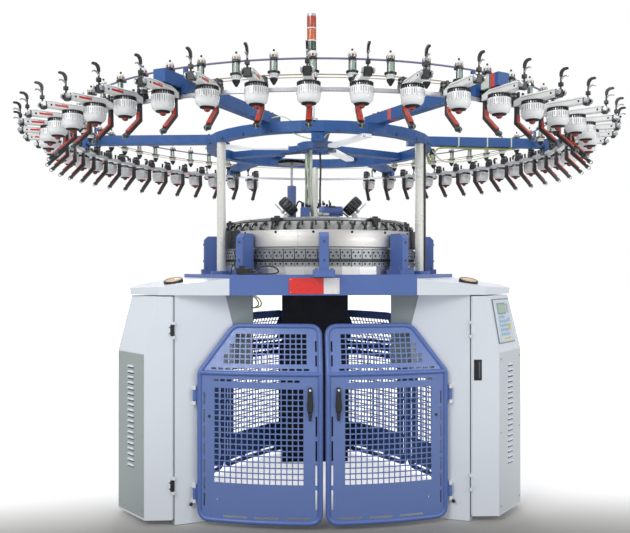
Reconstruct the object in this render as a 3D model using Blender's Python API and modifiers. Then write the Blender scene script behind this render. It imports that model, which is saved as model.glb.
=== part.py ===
"""Circular jacquard knitting machine: three-legged base, guard doors, knitting head, yarn feeder creel.

Metres, +Z up, floor at Z = 0, front of the machine facing -Y. Each piece is shaped about the machine
axis, and at the end all are moved back by AXIS_Y, so that the origin is the middle of the whole reach.
The base repeats every 120 degrees: a guard door pair between each two legs.
"""

import bpy
import bmesh
from math import atan2, cos, hypot, pi, radians, sin, tan
from mathutils import Matrix, Vector

# Common
GAP = 0.0003
FOLD = 120.0
FRONT = 270.0
LEG_ANGLES = {"front_left": 210.0, "front_right": 330.0, "rear": 90.0}
DOOR_PAIRS = {"front": 0.0, "rear_right": 120.0, "rear_left": 240.0}

# Base: legs and the level that the bed and the cabinet lids sit on
SEAT_Z = 1.232
LEG_INNER_E = 0.58
LEG_OUTER_E = 1.005
LEG_INNER_HALF = 0.235
LEG_OUTER_HALF = 0.139
LEG_ARCH_E = 0.800
LEG_ARCH_Z = 0.820
LEG_ARCH_R = 0.120
LEG_ARCH_STEPS = 5
LEG_COVER_T = 0.004
LEG_COVER_SETBACK = 0.003
LEG_COVER_FLOOR_GAP = 0.003
LEG_COVER_INNER_E = 0.694
LEG_COVER_SLANT = 0.040
LEG_COVER_SLANT_H = 0.16

# Bed
BED_TOP_Z = 1.342
BED_FACE_R = 0.66
BED_FACE_HALF = 0.502
PAD_R = 0.665
PAD_RADIUS = 0.060
PAD_H = 0.018

# Posts round the knitting head
POST_COUNT = 9
POST_R = 0.685
POST_W = 0.050
POST_D = 0.055
POST_TOP_Z = 1.569
POST_SLOPE = 0.022
FLANGE_W = 0.115
FLANGE_D = 0.085
FLANGE_H = 0.028

# Knitting head, from the bed up
HEAD_R = 0.600
LOWER_RING_TOP_Z = 1.411
SELECTOR_R = 0.604
SELECTOR_TOP_Z = 1.482
BAND_R = 0.612
HEAD_CLEAR_R = BAND_R + 0.012
BAND_BOTTOM_Z = 1.492
BAND_TOP_Z = 1.590
GUIDE_R = 0.560
GUIDE_TOP_Z = 1.640
DIAL_R = 0.533
DIAL_TOP_Z = 1.662
HEAD_STEPS = 36
SELECTOR_TEETH = 36
SELECTOR_TOOTH_D = 0.006

# Dial top
DIAL_HUB_R = 0.17
DIAL_HUB_H = 0.030
MOTOR_R = 0.032
MOTOR_L = 0.150
MOTOR_Y = -0.05
MOTOR_FOOT_H = 0.006
FAN_R = 0.062
FAN_T = 0.042
FAN_TILT = 52.0
FAN_Z = 1.760
FAN_X = 0.235
FAN_Y = -0.02
FAN_ARM_T = 0.010
FAN_ARM_W = 0.040
DRIVE_X = -0.167
DRIVE_Y = 0.17
DRIVE_SLEEVE_R = 0.029
DRIVE_SLEEVE_TOP_Z = 1.912
DRIVE_ROD_R = 0.008
PULLEY_R = 0.090
PULLEY_H = 0.020
PULLEY_TOP_Z = 2.073

# Columns and the blue creel frame
COLUMN_R = 0.0255
COLUMN_PCD = 0.665
RING_BOTTOM_Z = 2.103
RING_TOP_Z = 2.161
RING_OUT_R = 0.697
RING_IN_R = 0.640
RING_STEPS = 36
SPOKE_W = 0.075
SPOKE_H = 0.040
HUB_OUT_R = 0.135
HUB_IN_R = 0.075
HUB_H = 0.044
ARM_ANGLES = (27.0, 94.5, 155.25)
ARM_W = 0.060
ARM_H = 0.057
ARM_INNER_R = 0.570
LIGHTS = ((-0.375, -0.250, 0.0), (0.150, -0.480, -63.0), (0.150, 0.080, 68.0))
LIGHT_L = 0.380
LIGHT_LUG_L = 0.095
LIGHT_LUG_W = 0.030
LIGHT_LUG_T = 0.012
LIGHT_W = 0.060
LIGHT_T = 0.022

# Creel ring and the large feeders
CREEL_R = 1.480
ARM_PAST_CREEL = 0.130
ARM_OUTER_R = CREEL_R + ARM_PAST_CREEL
CREEL_Z = 2.1245
CREEL_BAR_H = 0.018
CREEL_BAR_T = 0.012
HANGER_W = 0.024
HANGER_T = 0.030
HANGER_BITE = 0.002
FRONT_FEEDERS = 22
FRONT_PITCH = 7.7
REAR_FEEDERS = 13
REAR_PITCH = 6.1
REAR_GAP_HALF = 18.0
HOUSING_IN = 0.024
HOUSING_OUT = 0.235
HOUSING_W = 0.044
HOUSING_BOTTOM = -0.014
HOUSING_TOP = 0.031
HOUSING_NOSE = 0.045
DRUM_AT = 0.106
DRUM_R = 0.050
DRUM_H = 0.050
DRUM_TAPER_H = 0.022
DRUM_NUB_R = 0.013
DRUM_NUB_H = 0.018
DRUM_STEPS = 8
YARN_ARM_AT = 0.020
YARN_ARM_T = 0.014
YARN_ARM_W = 0.012
YARN_ARM_DROP = 0.088
YARN_ARM_REACH = 0.085
YARN_ARM_FALL = 0.082
HOOK_AT = 0.250
HOOK_T = 0.009
HOOK_RISE = 0.082
HOOK_REACH = 0.030
HOOK_W = 0.008

# The feeders reach further forward than back, so the machine axis stands behind the origin
FEEDER_REACH = CREEL_R + HOOK_AT + HOOK_T + HOOK_REACH
AXIS_Y = FEEDER_REACH * (cos(radians(FRONT_PITCH / 2)) - cos(radians(REAR_GAP_HALF))) / 2

# Upper ring and the small yarn brakes
UPPER_INSET = 0.060
UPPER_R = CREEL_R - UPPER_INSET
UPPER_ROD_R = 0.005
UPPER_Z = 2.271
UPPER_PITCH = 6.75
BRAKES_PER_SIDE = 24
BRAKE_TOP = 0.042
BRAKE_BOTTOM = -0.112
BRAKE_CAP_R = 0.019
BRAKE_DISC_R = 0.026
BRAKE_DISC_AT = -0.062
BRAKE_STEPS = 5

# Signal lamp on the front of the creel frame
LAMP_X = -0.065
LAMP_R = 0.0245
LAMP_POLE_R = 0.016
LAMP_POLE_H = 0.337
LAMP_SOCKET_H = 0.017
LAMP_LENSES = 3
LAMP_SEGMENT_H = 0.060
LAMP_BAND_H = 0.007
LAMP_BAND_R = 0.026
LAMP_CAP_H = 0.017
LAMP_BASE_Z = RING_TOP_Z + LAMP_POLE_H
LAMP_TOP_Z = LAMP_BASE_Z + LAMP_SOCKET_H + LAMP_LENSES * (LAMP_SEGMENT_H + LAMP_BAND_H) + LAMP_CAP_H
LAMP_FOOT_R = 0.035
LAMP_FOOT_H = 0.008

# Cables: one down the middle to the dial, one along a column
DIAL_CABLE_R = 0.011
DIAL_CABLE_X = -0.050
COLUMN_CABLE_R = 0.006
COLUMN_CABLE_SIDE = -20.0

# Guard doors
DOOR_APEX_Y = -0.722
DOOR_BOW_R = 2.10
DOOR_HALF_GAP = 0.020
DOOR_EDGE_X = 0.665
DOOR_BOTTOM_Z = 0.0355
DOOR_MID_Z = 0.818
DOOR_TOP_Z = 1.063
DOOR_TOP_EDGE_X = 0.485
DOOR_LEAN = 25.0
DOOR_TUBE_R = 0.0135
DOOR_CORNER_R = 0.050
DOOR_SHEET_T = 0.003
DOOR_SHEET_INSET = 0.008
WINDOW_IN_X = 0.119
WINDOW_OUT_X = 0.590
WINDOW_BOTTOM_Z = 0.235
WINDOW_TOP_Z = 0.748
WINDOW_COLUMNS = 2
WINDOW_ROWS = 2
UPPER_WINDOW_BOTTOM = 0.20
UPPER_WINDOW_TOP = 0.84
UPPER_WINDOW_IN = 0.13
UPPER_WINDOW_OUT = 0.86
UPPER_WINDOW_COLUMNS = 2
UPPER_WINDOW_ROWS = 1
WINDOW_BAR = 0.010
HINGE_AXIS_X = 0.692
HINGE_HEIGHTS = (0.168, 0.694)
HINGE_KNUCKLE_H = 0.060
HINGE_LUG_H = 0.020
LUG_ROOT = 0.002
HINGE_R = 0.0095
HINGE_GAP = 0.0006
HANDLE_X = 0.075
HANDLE_TOP_Z = 0.750
HANDLE_L = 0.175
HANDLE_W = 0.034
HANDLE_TIP_W = 0.014
HANDLE_D = 0.022

# Electrical cabinets on the outer ends of the front legs
CAB_FRONT_Y = 0.630
CAB_COVER_SEAT = 0.0102
CAB_CORNER_X = 0.957
CAB_SIDE_X = 1.144
CAB_CHAMFER_Y = 0.420
CAB_REAR_Y = 0.270
CAB_REAR_IN = (0.955, 0.334)
CAB_BOTTOM_Z = 0.030
CAB_SHOULDER_Z = 0.922
CAB_LEAN = 0.076
CAB_SKIN = 0.003
CAB_WALL = 0.004
CAB_DOOR_GAP = 0.006
CAB_TOP_GAP = 0.006
CAB_EDGE = 0.004
CAB_OPEN_SHIFT = 0.030
CAB_HINGE_HEIGHTS = (0.215, 1.045)
CAB_HINGE_L = 0.060
CAB_HINGE_R = 0.005
LID_OUTER_Z = 1.272
LID_INNER_Z = 1.322
LID_INNER_E = 0.765
LID_OUTER_E = 1.110
LID_LAP = 0.004
LID_BED_GAP = 0.0005
BUTTON_E = 0.955
BUTTON_R = 0.052
BUTTON_H = 0.012
BUTTON_ROOT = 0.006
PANEL_W = 0.140
PANEL_L = 0.225
PANEL_T = 0.008
PANEL_RISE = 0.010

MATERIALS = {
    "blue_paint": ((0.085, 0.135, 0.440), 0.38, 0.0),
    "dark_casting": ((0.020, 0.028, 0.050), 0.50, 0.1),
    "grey_paint": ((0.640, 0.700, 0.760), 0.40, 0.0),
    "polished_steel": ((0.560, 0.560, 0.540), 0.22, 1.0),
    "dark_steel": ((0.070, 0.070, 0.075), 0.35, 0.8),
    "column_steel": ((0.700, 0.690, 0.660), 0.25, 0.9),
    "white_plastic": ((0.760, 0.770, 0.760), 0.35, 0.0),
    "black_plastic": ((0.012, 0.012, 0.013), 0.40, 0.0),
    "lamp_plastic": ((0.600, 0.060, 0.020), 0.20, 0.0),
    "violet_rod": ((0.200, 0.180, 0.360), 0.30, 0.4),
    "cable_sleeve": ((0.640, 0.680, 0.580), 0.45, 0.0),
}


def clear_scene():
    for obj in list(bpy.data.objects):
        bpy.data.objects.remove(obj, do_unlink=True)


def new_collection(name):
    collection = bpy.data.collections.new(name)
    bpy.context.scene.collection.children.link(collection)
    return collection


def material(name):
    found = bpy.data.materials.get(name)
    if found:
        return found
    colour, roughness, metallic = MATERIALS[name]
    made = bpy.data.materials.new(name)
    made.use_nodes = True
    shader = made.node_tree.nodes["Principled BSDF"]
    shader.inputs["Base Color"].default_value = (*colour, 1.0)
    shader.inputs["Roughness"].default_value = roughness
    shader.inputs["Metallic"].default_value = metallic
    made.diffuse_color = (*colour, 1.0)
    return made


def put(name, data, mat):
    """A new object of the model that carries this mesh or curve."""
    obj = bpy.data.objects.new(name, data)
    MODEL.objects.link(obj)
    data.materials.clear()
    data.materials.append(material(mat))
    return obj


def evaluated_mesh(obj):
    """The mesh of an object with its modifiers and its place applied."""
    bpy.context.view_layer.update()
    graph = bpy.context.evaluated_depsgraph_get()
    mesh = bpy.data.meshes.new_from_object(obj.evaluated_get(graph))
    mesh.transform(obj.matrix_world)
    return mesh


def settle(obj):
    """Replace an object by a welded mesh object of the same name and material, its place applied."""
    mesh = evaluated_mesh(obj)
    name = obj.name
    mat = obj.data.materials[0].name
    bm = bmesh.new()
    bm.from_mesh(mesh)
    bmesh.ops.remove_doubles(bm, verts=bm.verts, dist=0.00002)
    bmesh.ops.dissolve_limit(bm, angle_limit=radians(0.2), verts=bm.verts, edges=bm.edges)
    bmesh.ops.recalc_face_normals(bm, faces=bm.faces)
    bm.to_mesh(mesh)
    bm.free()
    bpy.data.objects.remove(obj, do_unlink=True)
    return put(name, mesh, mat)


def boolean(obj, others, operation):
    """Join or cut an object with others, which are used up."""
    helpers = bpy.data.collections.new("helpers")
    bpy.context.scene.collection.children.link(helpers)
    for other in others:
        for owner in list(other.users_collection):
            owner.objects.unlink(other)
        helpers.objects.link(other)
    modifier = obj.modifiers.new(operation.lower(), "BOOLEAN")
    modifier.operation = operation
    modifier.solver = "EXACT"
    modifier.operand_type = "COLLECTION"
    modifier.collection = helpers
    done = settle(obj)
    for other in others:
        bpy.data.objects.remove(other, do_unlink=True)
    bpy.data.collections.remove(helpers)
    return done


def fuse(obj, others):
    return boolean(obj, others, "UNION")


def cut(obj, others):
    return boolean(obj, others, "DIFFERENCE")


def box(name, size, centre, mat, turn=0.0):
    bm = bmesh.new()
    bmesh.ops.create_cube(bm, size=1.0)
    bmesh.ops.scale(bm, vec=Vector(size), verts=bm.verts)
    place = Matrix.Rotation(radians(turn), 4, "Z") @ Matrix.Translation(Vector(centre))
    bmesh.ops.transform(bm, matrix=place, verts=bm.verts)
    mesh = bpy.data.meshes.new(name)
    bm.to_mesh(mesh)
    bm.free()
    return put(name, mesh, mat)


def plate(name, outline, low, high, mat):
    """A flat outline in plan, filled and raised from low to high."""
    curve = bpy.data.curves.new(name, "CURVE")
    curve.dimensions = "2D"
    curve.fill_mode = "BOTH"
    spline = curve.splines.new("POLY")
    spline.points.add(len(outline) - 1)
    for point, place in zip(spline.points, outline):
        point.co = (place[0], place[1], 0.0, 1.0)
    spline.use_cyclic_u = True
    curve.extrude = (high - low) / 2
    obj = put(name, curve, mat)
    obj.location.z = (high + low) / 2
    return settle(obj)


def side_plate(name, outline, width, mat):
    """An outline in the radial plane, (outward, up), as thick as width across it."""
    obj = plate(name, outline, -width / 2, width / 2, mat)
    obj.data.transform(Matrix.Rotation(pi / 2, 4, "X"))
    return obj


def turned(name, profile, steps, mat, smooth=True):
    """A profile of (radius, height) points, top to bottom down its outer side, turned about Z."""
    mesh = bpy.data.meshes.new(name)
    mesh.from_pydata([(r, 0.0, z) for r, z in profile], [(i, i + 1) for i in range(len(profile) - 1)], [])
    obj = put(name, mesh, mat)
    screw = obj.modifiers.new("turn", "SCREW")
    screw.axis = "Z"
    screw.steps = steps
    screw.render_steps = steps
    screw.use_merge_vertices = True
    screw.merge_threshold = 0.00005
    done = settle(obj)
    if smooth:
        done.data.shade_smooth()
        done.data.set_sharp_from_angle(angle=radians(35))
    return done


def tube(name, points, radius, mat, closed=False, resolution=1):
    """A round bar along points."""
    curve = bpy.data.curves.new(name, "CURVE")
    curve.dimensions = "3D"
    spline = curve.splines.new("POLY")
    spline.points.add(len(points) - 1)
    for point, place in zip(spline.points, points):
        point.co = (*place, 1.0)
    spline.use_cyclic_u = closed
    curve.bevel_depth = radius
    curve.bevel_resolution = resolution
    curve.use_fill_caps = not closed
    done = settle(put(name, curve, mat))
    done.data.shade_smooth()
    done.data.set_sharp_from_angle(angle=radians(50))
    return done


def turn_to(obj, angle, move=(0.0, 0.0, 0.0)):
    """Move an object's mesh, then turn it about the machine axis."""
    obj.data.transform(Matrix.Rotation(radians(angle), 4, "Z") @ Matrix.Translation(Vector(move)))
    return obj


def copy_turned(obj, name, angle):
    """A copy of a piece turned about the machine axis."""
    mesh = obj.data.copy()
    mesh.transform(Matrix.Rotation(radians(angle), 4, "Z"))
    return put(name, mesh, obj.data.materials[0].name)


def polar(radius, angle):
    return radius * cos(radians(angle)), radius * sin(radians(angle))


def in_leg(angle, outward, across):
    """Plan point of a leg frame: outward from the machine axis, across it anticlockwise."""
    c, s = cos(radians(angle)), sin(radians(angle))
    return outward * c - across * s, outward * s + across * c


def leg_half(outward):
    """Half width of a leg at a distance from the machine axis."""
    share = (outward - LEG_INNER_E) / (LEG_OUTER_E - LEG_INNER_E)
    return LEG_INNER_HALF + share * (LEG_OUTER_HALF - LEG_INNER_HALF)


def make_leg(name, angle):
    """A cast leg from the floor to the bed, narrower at its outer end."""
    corners = [
        (LEG_INNER_E, -LEG_INNER_HALF),
        (LEG_OUTER_E, -LEG_OUTER_HALF),
        (LEG_OUTER_E, LEG_OUTER_HALF),
        (LEG_INNER_E, LEG_INNER_HALF),
    ]
    outline = [in_leg(angle, e, t) for e, t in corners]
    leg = plate("leg_" + name, outline, 0.0, SEAT_Z - GAP, "dark_casting")
    if name == "rear":
        fuse(leg, hinge_lugs(angle, 1, -LUG_ROOT) + hinge_lugs(angle, -1, -LUG_ROOT))
        return
    leg = cut(leg, [leg_arch(angle)])
    for side, place in ((1, "front"), (-1, "rear")):
        if name == "front_left":
            side = -side
        make_leg_cover("leg_cover_%s_%s" % (name[6:], place), angle, side)


def leg_arch(angle):
    """The space under the inner end of a front leg, its upper corner rounded."""
    inner = LEG_INNER_E - LEG_ARCH_R
    outline = [(inner, -LEG_ARCH_R), (LEG_ARCH_E, -LEG_ARCH_R)]
    for k in range(LEG_ARCH_STEPS + 1):
        bend = pi / 2 * k / LEG_ARCH_STEPS
        across = LEG_ARCH_E - LEG_ARCH_R * (1 - cos(bend))
        outline.append((across, LEG_ARCH_Z - LEG_ARCH_R * (1 - sin(bend))))
    outline.append((inner, LEG_ARCH_Z))
    return turn_to(side_plate("arch", outline, 2 * LEG_INNER_HALF + LEG_ARCH_R, "dark_casting"), angle)


def make_leg_cover(name, angle, side):
    """A sheet cover on one side of a front leg, with the lugs of the guard door beside it.

    side 1 is the clockwise side of the leg, -1 the anticlockwise side.
    """
    outer = Vector(in_leg(angle, LEG_OUTER_E, -side * LEG_OUTER_HALF))
    inner = Vector(in_leg(angle, LEG_INNER_E, -side * LEG_INNER_HALF))
    inward = (inner - outer).normalized()
    outward_face = Vector((-inward.y, inward.x)) * side
    reach = (LEG_OUTER_E - LEG_COVER_INNER_E) / (LEG_OUTER_E - LEG_INNER_E) * (inner - outer).length
    top = SEAT_Z - GAP
    outline = [
        (LEG_COVER_SETBACK, LEG_COVER_FLOOR_GAP),
        (reach, LEG_COVER_FLOOR_GAP),
        (reach, top - LEG_COVER_SLANT_H),
        (reach - LEG_COVER_SLANT, top),
        (LEG_COVER_SETBACK, top),
    ]
    cover = side_plate(name, outline, LEG_COVER_T, "grey_paint")
    middle = outer + outward_face * (GAP + LEG_COVER_T / 2)
    turn = Matrix.Rotation(atan2(inward.y, inward.x), 4, "Z")
    cover.data.transform(Matrix.Translation((middle.x, middle.y, 0.0)) @ turn)
    cover = cut(cover, [leg_arch(angle)])
    lugs = hinge_lugs(angle, side, GAP + LEG_COVER_T * 0.4)
    if place_of(name) == "front":
        lugs += cabinet_hinge_lugs(1 if angle > FRONT else -1)
    return fuse(cover, lugs)


def place_of(name):
    return name.rsplit("_", 1)[1]


def hinge_place(angle, side):
    """Plan of the guard door's hinge axis beside a leg, on its clockwise (1) or anticlockwise (-1) side."""
    turn = angle - (330.0 if side > 0 else 210.0)
    place = Matrix.Rotation(radians(turn), 2) @ Vector((side * HINGE_AXIS_X, door_plan(DOOR_EDGE_X)[1]))
    return place.x, place.y


def hinge_lugs(angle, side, proud):
    """The lugs above and below each knuckle of a guard door, rooted proud of the leg's face."""
    x, y = hinge_place(angle, side)
    c, s = cos(radians(angle)), sin(radians(angle))
    outward = x * c + y * s
    across = -x * s + y * c
    lugs = []
    for height in HINGE_HEIGHTS:
        for up in (-1, 1):
            low = height + up * (HINGE_KNUCKLE_H / 2 + HINGE_GAP)
            high = low + up * HINGE_LUG_H
            outline = [
                (outward - HINGE_R, -side * (leg_half(outward - HINGE_R) + proud)),
                (outward + HINGE_R, -side * (leg_half(outward + HINGE_R) + proud)),
                (outward + HINGE_R, across),
                (outward, across - side * HINGE_R),
                (outward - HINGE_R, across),
            ]
            plan = [in_leg(angle, e, t) for e, t in outline]
            lugs.append(plate("lug", plan, min(low, high), max(low, high), "grey_paint"))
    return lugs


def seam_x(seat, front_y):
    """Where a line along the leg's end face, set off by seat, meets the plane y = -front_y."""
    c, s = cos(radians(-30.0)), sin(radians(-30.0))
    outward = LEG_OUTER_E + seat
    across = (-front_y - outward * s) / c
    return outward * c - across * s


def cabinet_axis(side):
    """Plan of a cabinet cover's hinge axis, just in front of the seam."""
    seam = seam_x(CAB_COVER_SEAT, CAB_FRONT_Y)
    return side * (seam - CAB_HINGE_R * 0.6), -(CAB_FRONT_Y + CAB_HINGE_R)


def cabinet_hinge_lugs(side):
    """Fixed lugs of the cabinet cover's hinges, rooted in the leg cover."""
    x, y = cabinet_axis(side)
    lugs = []
    for height in CAB_HINGE_HEIGHTS:
        for up in (-1, 1):
            middle = height + up * (CAB_HINGE_L / 2 + HINGE_GAP + CAB_HINGE_L / 8)
            lugs.append(
                box(
                    "lug",
                    (3.0 * CAB_HINGE_R, 3.4 * CAB_HINGE_R, CAB_HINGE_L / 4),
                    (x - side * 1.1 * CAB_HINGE_R, y + 0.7 * CAB_HINGE_R, middle),
                    "grey_paint",
                )
            )
    return lugs


def door_plan(x):
    """Plan point of the bowed door surface of the front pair."""
    return x, DOOR_APEX_Y + DOOR_BOW_R - (DOOR_BOW_R ** 2 - x ** 2) ** 0.5


def door_point(x, z):
    """A point on the front pair's door surface; above the middle rail it leans inwards."""
    plan = door_plan(x)
    lean = max(0.0, z - DOOR_MID_Z) * tan(radians(DOOR_LEAN))
    return Vector((plan[0], plan[1] + lean, z))


def door_side_x(z):
    """Outer edge of a door at a height: straight up, then slanted above the middle rail."""
    share = max(0.0, (z - DOOR_MID_Z) / (DOOR_TOP_Z - DOOR_MID_Z))
    return DOOR_EDGE_X + share * (DOOR_TOP_EDGE_X - DOOR_EDGE_X)


def rounded(corners, steps):
    """Outline through corners (x, z, radius), each rounded with a quarter-like bend."""
    points = []
    count = len(corners)
    for i, (x, z, radius) in enumerate(corners):
        here = Vector((x, z))
        if radius == 0.0:
            points.append(here)
            continue
        before = Vector(corners[i - 1][:2]) - here
        after = Vector(corners[(i + 1) % count][:2]) - here
        start = here + before.normalized() * radius
        end = here + after.normalized() * radius
        for k in range(steps + 1):
            t = k / steps
            points.append((1 - t) ** 2 * start + 2 * t * (1 - t) * here + t ** 2 * end)
    return points


def door_frame_points():
    corners = [
        (DOOR_HALF_GAP, DOOR_BOTTOM_Z, DOOR_CORNER_R),
        (DOOR_EDGE_X, DOOR_BOTTOM_Z, DOOR_CORNER_R),
        (DOOR_EDGE_X, DOOR_MID_Z, 0.0),
        (DOOR_TOP_EDGE_X, DOOR_TOP_Z, DOOR_CORNER_R * 0.8),
        (DOOR_HALF_GAP, DOOR_TOP_Z, DOOR_CORNER_R),
        (DOOR_HALF_GAP, DOOR_MID_Z, 0.0),
    ]
    flat = rounded(corners, 2)
    dense = []
    for i, point in enumerate(flat):
        after = flat[(i + 1) % len(flat)]
        level = abs(after.y - point.y) < 0.01
        cuts = max(1, round((after - point).length / 0.2)) if level else 1
        for k in range(cuts):
            dense.append(point.lerp(after, k / cuts))
    return [door_point(p.x, p.y) for p in dense]


def breaks(low, high, first, last, count, bar):
    """Edges of a row of openings: low, then both sides of each opening, then high."""
    pitch = (last - first + bar) / count
    edges = [low]
    for i in range(count):
        edges += [first + i * pitch, first + (i + 1) * pitch - bar]
    return edges + [high]


def grille(name, columns, rows, place, mat):
    """A thin sheet with a grid of openings; the odd cells of both rows of edges are open."""
    bm = bmesh.new()
    grid = [[bm.verts.new(place(c, r)) for c in columns] for r in rows]
    for j in range(len(rows) - 1):
        for i in range(len(columns) - 1):
            if i % 2 == 1 and j % 2 == 1:
                continue
            bm.faces.new((grid[j][i], grid[j][i + 1], grid[j + 1][i + 1], grid[j + 1][i]))
    mesh = bpy.data.meshes.new(name)
    bm.to_mesh(mesh)
    bm.free()
    obj = put(name, mesh, mat)
    solid = obj.modifiers.new("sheet", "SOLIDIFY")
    solid.thickness = DOOR_SHEET_T
    solid.offset = 0.0
    return settle(obj)


def make_door(name, angle, side):
    """A guard door: bent tube frame with a middle rail, two pierced sheets, knuckles and a handle.

    side -1 is the left leaf of a pair seen from outside, 1 the right leaf.
    """
    frame = tube(name, door_frame_points(), DOOR_TUBE_R, "blue_paint", closed=True)
    inner = DOOR_HALF_GAP + DOOR_SHEET_INSET
    rail_xs = [DOOR_HALF_GAP + (DOOR_EDGE_X - DOOR_HALF_GAP) * k / 4 for k in range(5)]
    rail = tube("rail", [door_point(x, DOOR_MID_Z) for x in rail_xs], DOOR_TUBE_R * 0.93, "blue_paint")
    outer = DOOR_EDGE_X - DOOR_SHEET_INSET
    bottom = DOOR_BOTTOM_Z + DOOR_SHEET_INSET
    columns = breaks(inner, outer, WINDOW_IN_X, WINDOW_OUT_X, WINDOW_COLUMNS, WINDOW_BAR)
    rows = breaks(bottom, DOOR_MID_Z, WINDOW_BOTTOM_Z, WINDOW_TOP_Z, WINDOW_ROWS, WINDOW_BAR)
    lower = grille("lower", columns, rows, door_point, "blue_paint")
    shares = breaks(0.0, 1.0, UPPER_WINDOW_IN, UPPER_WINDOW_OUT, UPPER_WINDOW_COLUMNS, WINDOW_BAR / 0.6)
    heights = breaks(0.0, 1.0, UPPER_WINDOW_BOTTOM, UPPER_WINDOW_TOP, UPPER_WINDOW_ROWS, WINDOW_BAR)

    def upper_point(share, height):
        z = DOOR_MID_Z + height * (DOOR_TOP_Z - DOOR_SHEET_INSET - DOOR_MID_Z)
        return door_point(inner + share * (door_side_x(z) - DOOR_SHEET_INSET - inner), z)

    upper = grille("upper", shares, heights, upper_point, "blue_paint")
    axis = Vector((HINGE_AXIS_X, door_plan(DOOR_EDGE_X)[1], 0.0))
    knuckles = []
    for height in HINGE_HEIGHTS:
        barrel = [(0.0, height + HINGE_KNUCKLE_H / 2), (HINGE_R, height + HINGE_KNUCKLE_H / 2)]
        barrel += [(HINGE_R, height - HINGE_KNUCKLE_H / 2), (0.0, height - HINGE_KNUCKLE_H / 2)]
        knuckle = turned("knuckle", barrel, 8, "blue_paint")
        knuckle.data.transform(Matrix.Translation(axis))
        leaf = box(
            "leaf",
            (HINGE_AXIS_X - DOOR_EDGE_X, HINGE_R, HINGE_KNUCKLE_H * 0.9),
            ((HINGE_AXIS_X + DOOR_EDGE_X) / 2, axis.y, height),
            "blue_paint",
        )
        knuckles += [fuse(knuckle, [leaf])]
    handle = make_handle()
    door = fuse(frame, [rail])
    door = fuse(door, [lower])
    door = fuse(door, [upper])
    door = fuse(door, knuckles + [handle])
    door.data.transform(Matrix.Translation(-axis))
    if side < 0:
        mirror_x(door.data)
        axis.x = -axis.x
    door.location = Matrix.Rotation(radians(angle), 4, "Z") @ axis
    door.rotation_euler.z = radians(angle)
    return door


def make_handle():
    """A drop-shaped grip that stands on the inner edge of the sheet."""
    half = [(0.0, 0.0), (HANDLE_W * 0.5, -HANDLE_W * 0.45), (HANDLE_W * 0.5, -HANDLE_L * 0.45)]
    half += [(HANDLE_TIP_W * 0.5, -HANDLE_L)]
    outline = [(x, z) for x, z in half] + [(-x, z) for x, z in reversed(half[1:])]
    grip = side_plate("grip", outline, HANDLE_D, "black_plastic")
    surface = door_plan(HANDLE_X)[1]
    grip.data.transform(Matrix.Translation((HANDLE_X, surface - HANDLE_D / 2, HANDLE_TOP_Z)))
    return grip


def mirror_x(mesh):
    """Mirror a mesh in its own X and keep its faces pointing out."""
    mesh.transform(Matrix.Scale(-1, 4, (1, 0, 0)))
    mesh.flip_normals()


def hexagon(face_r, half):
    """Plan of the bed: three long faces over the doors, three short ones over the legs."""
    points = []
    for leg in range(3):
        angle = FRONT + leg * FOLD
        for across in (-half, half):
            points.append(in_leg(angle, face_r, across))
    return points


def make_bed():
    """The bed plate with column pads and the posts that carry the cam rings."""
    bed = plate("bed", hexagon(BED_FACE_R, BED_FACE_HALF), SEAT_Z, BED_TOP_Z, "blue_paint")
    raised = []
    for angle in LEG_ANGLES.values():
        top = BED_TOP_Z + PAD_H
        low = SEAT_Z + 0.02
        pad = turned("pad", [(0.0, top), (PAD_RADIUS, top), (PAD_RADIUS, low), (0.0, low)], 16, "blue_paint")
        raised.append(turn_to(pad, angle, (PAD_R, 0.0, 0.0)))
    bed = fuse(bed, raised)
    posts = []
    for i in range(POST_COUNT):
        angle = FRONT + i * 360.0 / POST_COUNT
        outer = POST_R + POST_D / 2
        inner = HEAD_CLEAR_R
        foot_out = POST_R + FLANGE_D / 2
        below = BED_TOP_Z - 0.01
        outline = [
            (inner, below),
            (foot_out, below),
            (foot_out, BED_TOP_Z + FLANGE_H),
            (outer, BED_TOP_Z + FLANGE_H),
            (outer, POST_TOP_Z - POST_SLOPE),
            (outer - POST_SLOPE, POST_TOP_Z),
            (inner, POST_TOP_Z),
        ]
        post = side_plate("post", outline, POST_W, "blue_paint")
        foot = box(
            "foot",
            (foot_out - inner, FLANGE_W, FLANGE_H + 0.01),
            ((foot_out + inner) / 2 + 0.0005, 0.0, BED_TOP_Z + FLANGE_H / 2 - 0.005 - 0.0005),
            "blue_paint",
        )
        posts.append(turn_to(fuse(post, [foot]), angle))
    return fuse(bed, posts)


def ring_solid(name, radius, low, high, mat, inner=0.0, steps=HEAD_STEPS):
    """A disc, or a ring where it has an inner radius."""
    if inner == 0.0:
        return turned(name, [(0.0, high), (radius, high), (radius, low), (0.0, low)], steps, mat)
    profile = [(inner, high), (radius, high), (radius, low), (inner, low), (inner, high)]
    return turned(name, profile, steps, mat)


def make_selector_ring():
    """The jacquard selector ring: one upright actuator block after another round the cylinder."""
    outline = []
    for i in range(SELECTOR_TEETH):
        pitch = 360.0 / SELECTOR_TEETH
        for share, radius in ((-0.42, SELECTOR_R), (0.42, SELECTOR_R)):
            outline.append(polar(radius, (i + share) * pitch))
        outline.append(polar(SELECTOR_R - SELECTOR_TOOTH_D, (i + 0.5) * pitch))
    return plate("selector_ring", outline, LOWER_RING_TOP_Z + GAP, SELECTOR_TOP_Z, "dark_steel")


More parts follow.
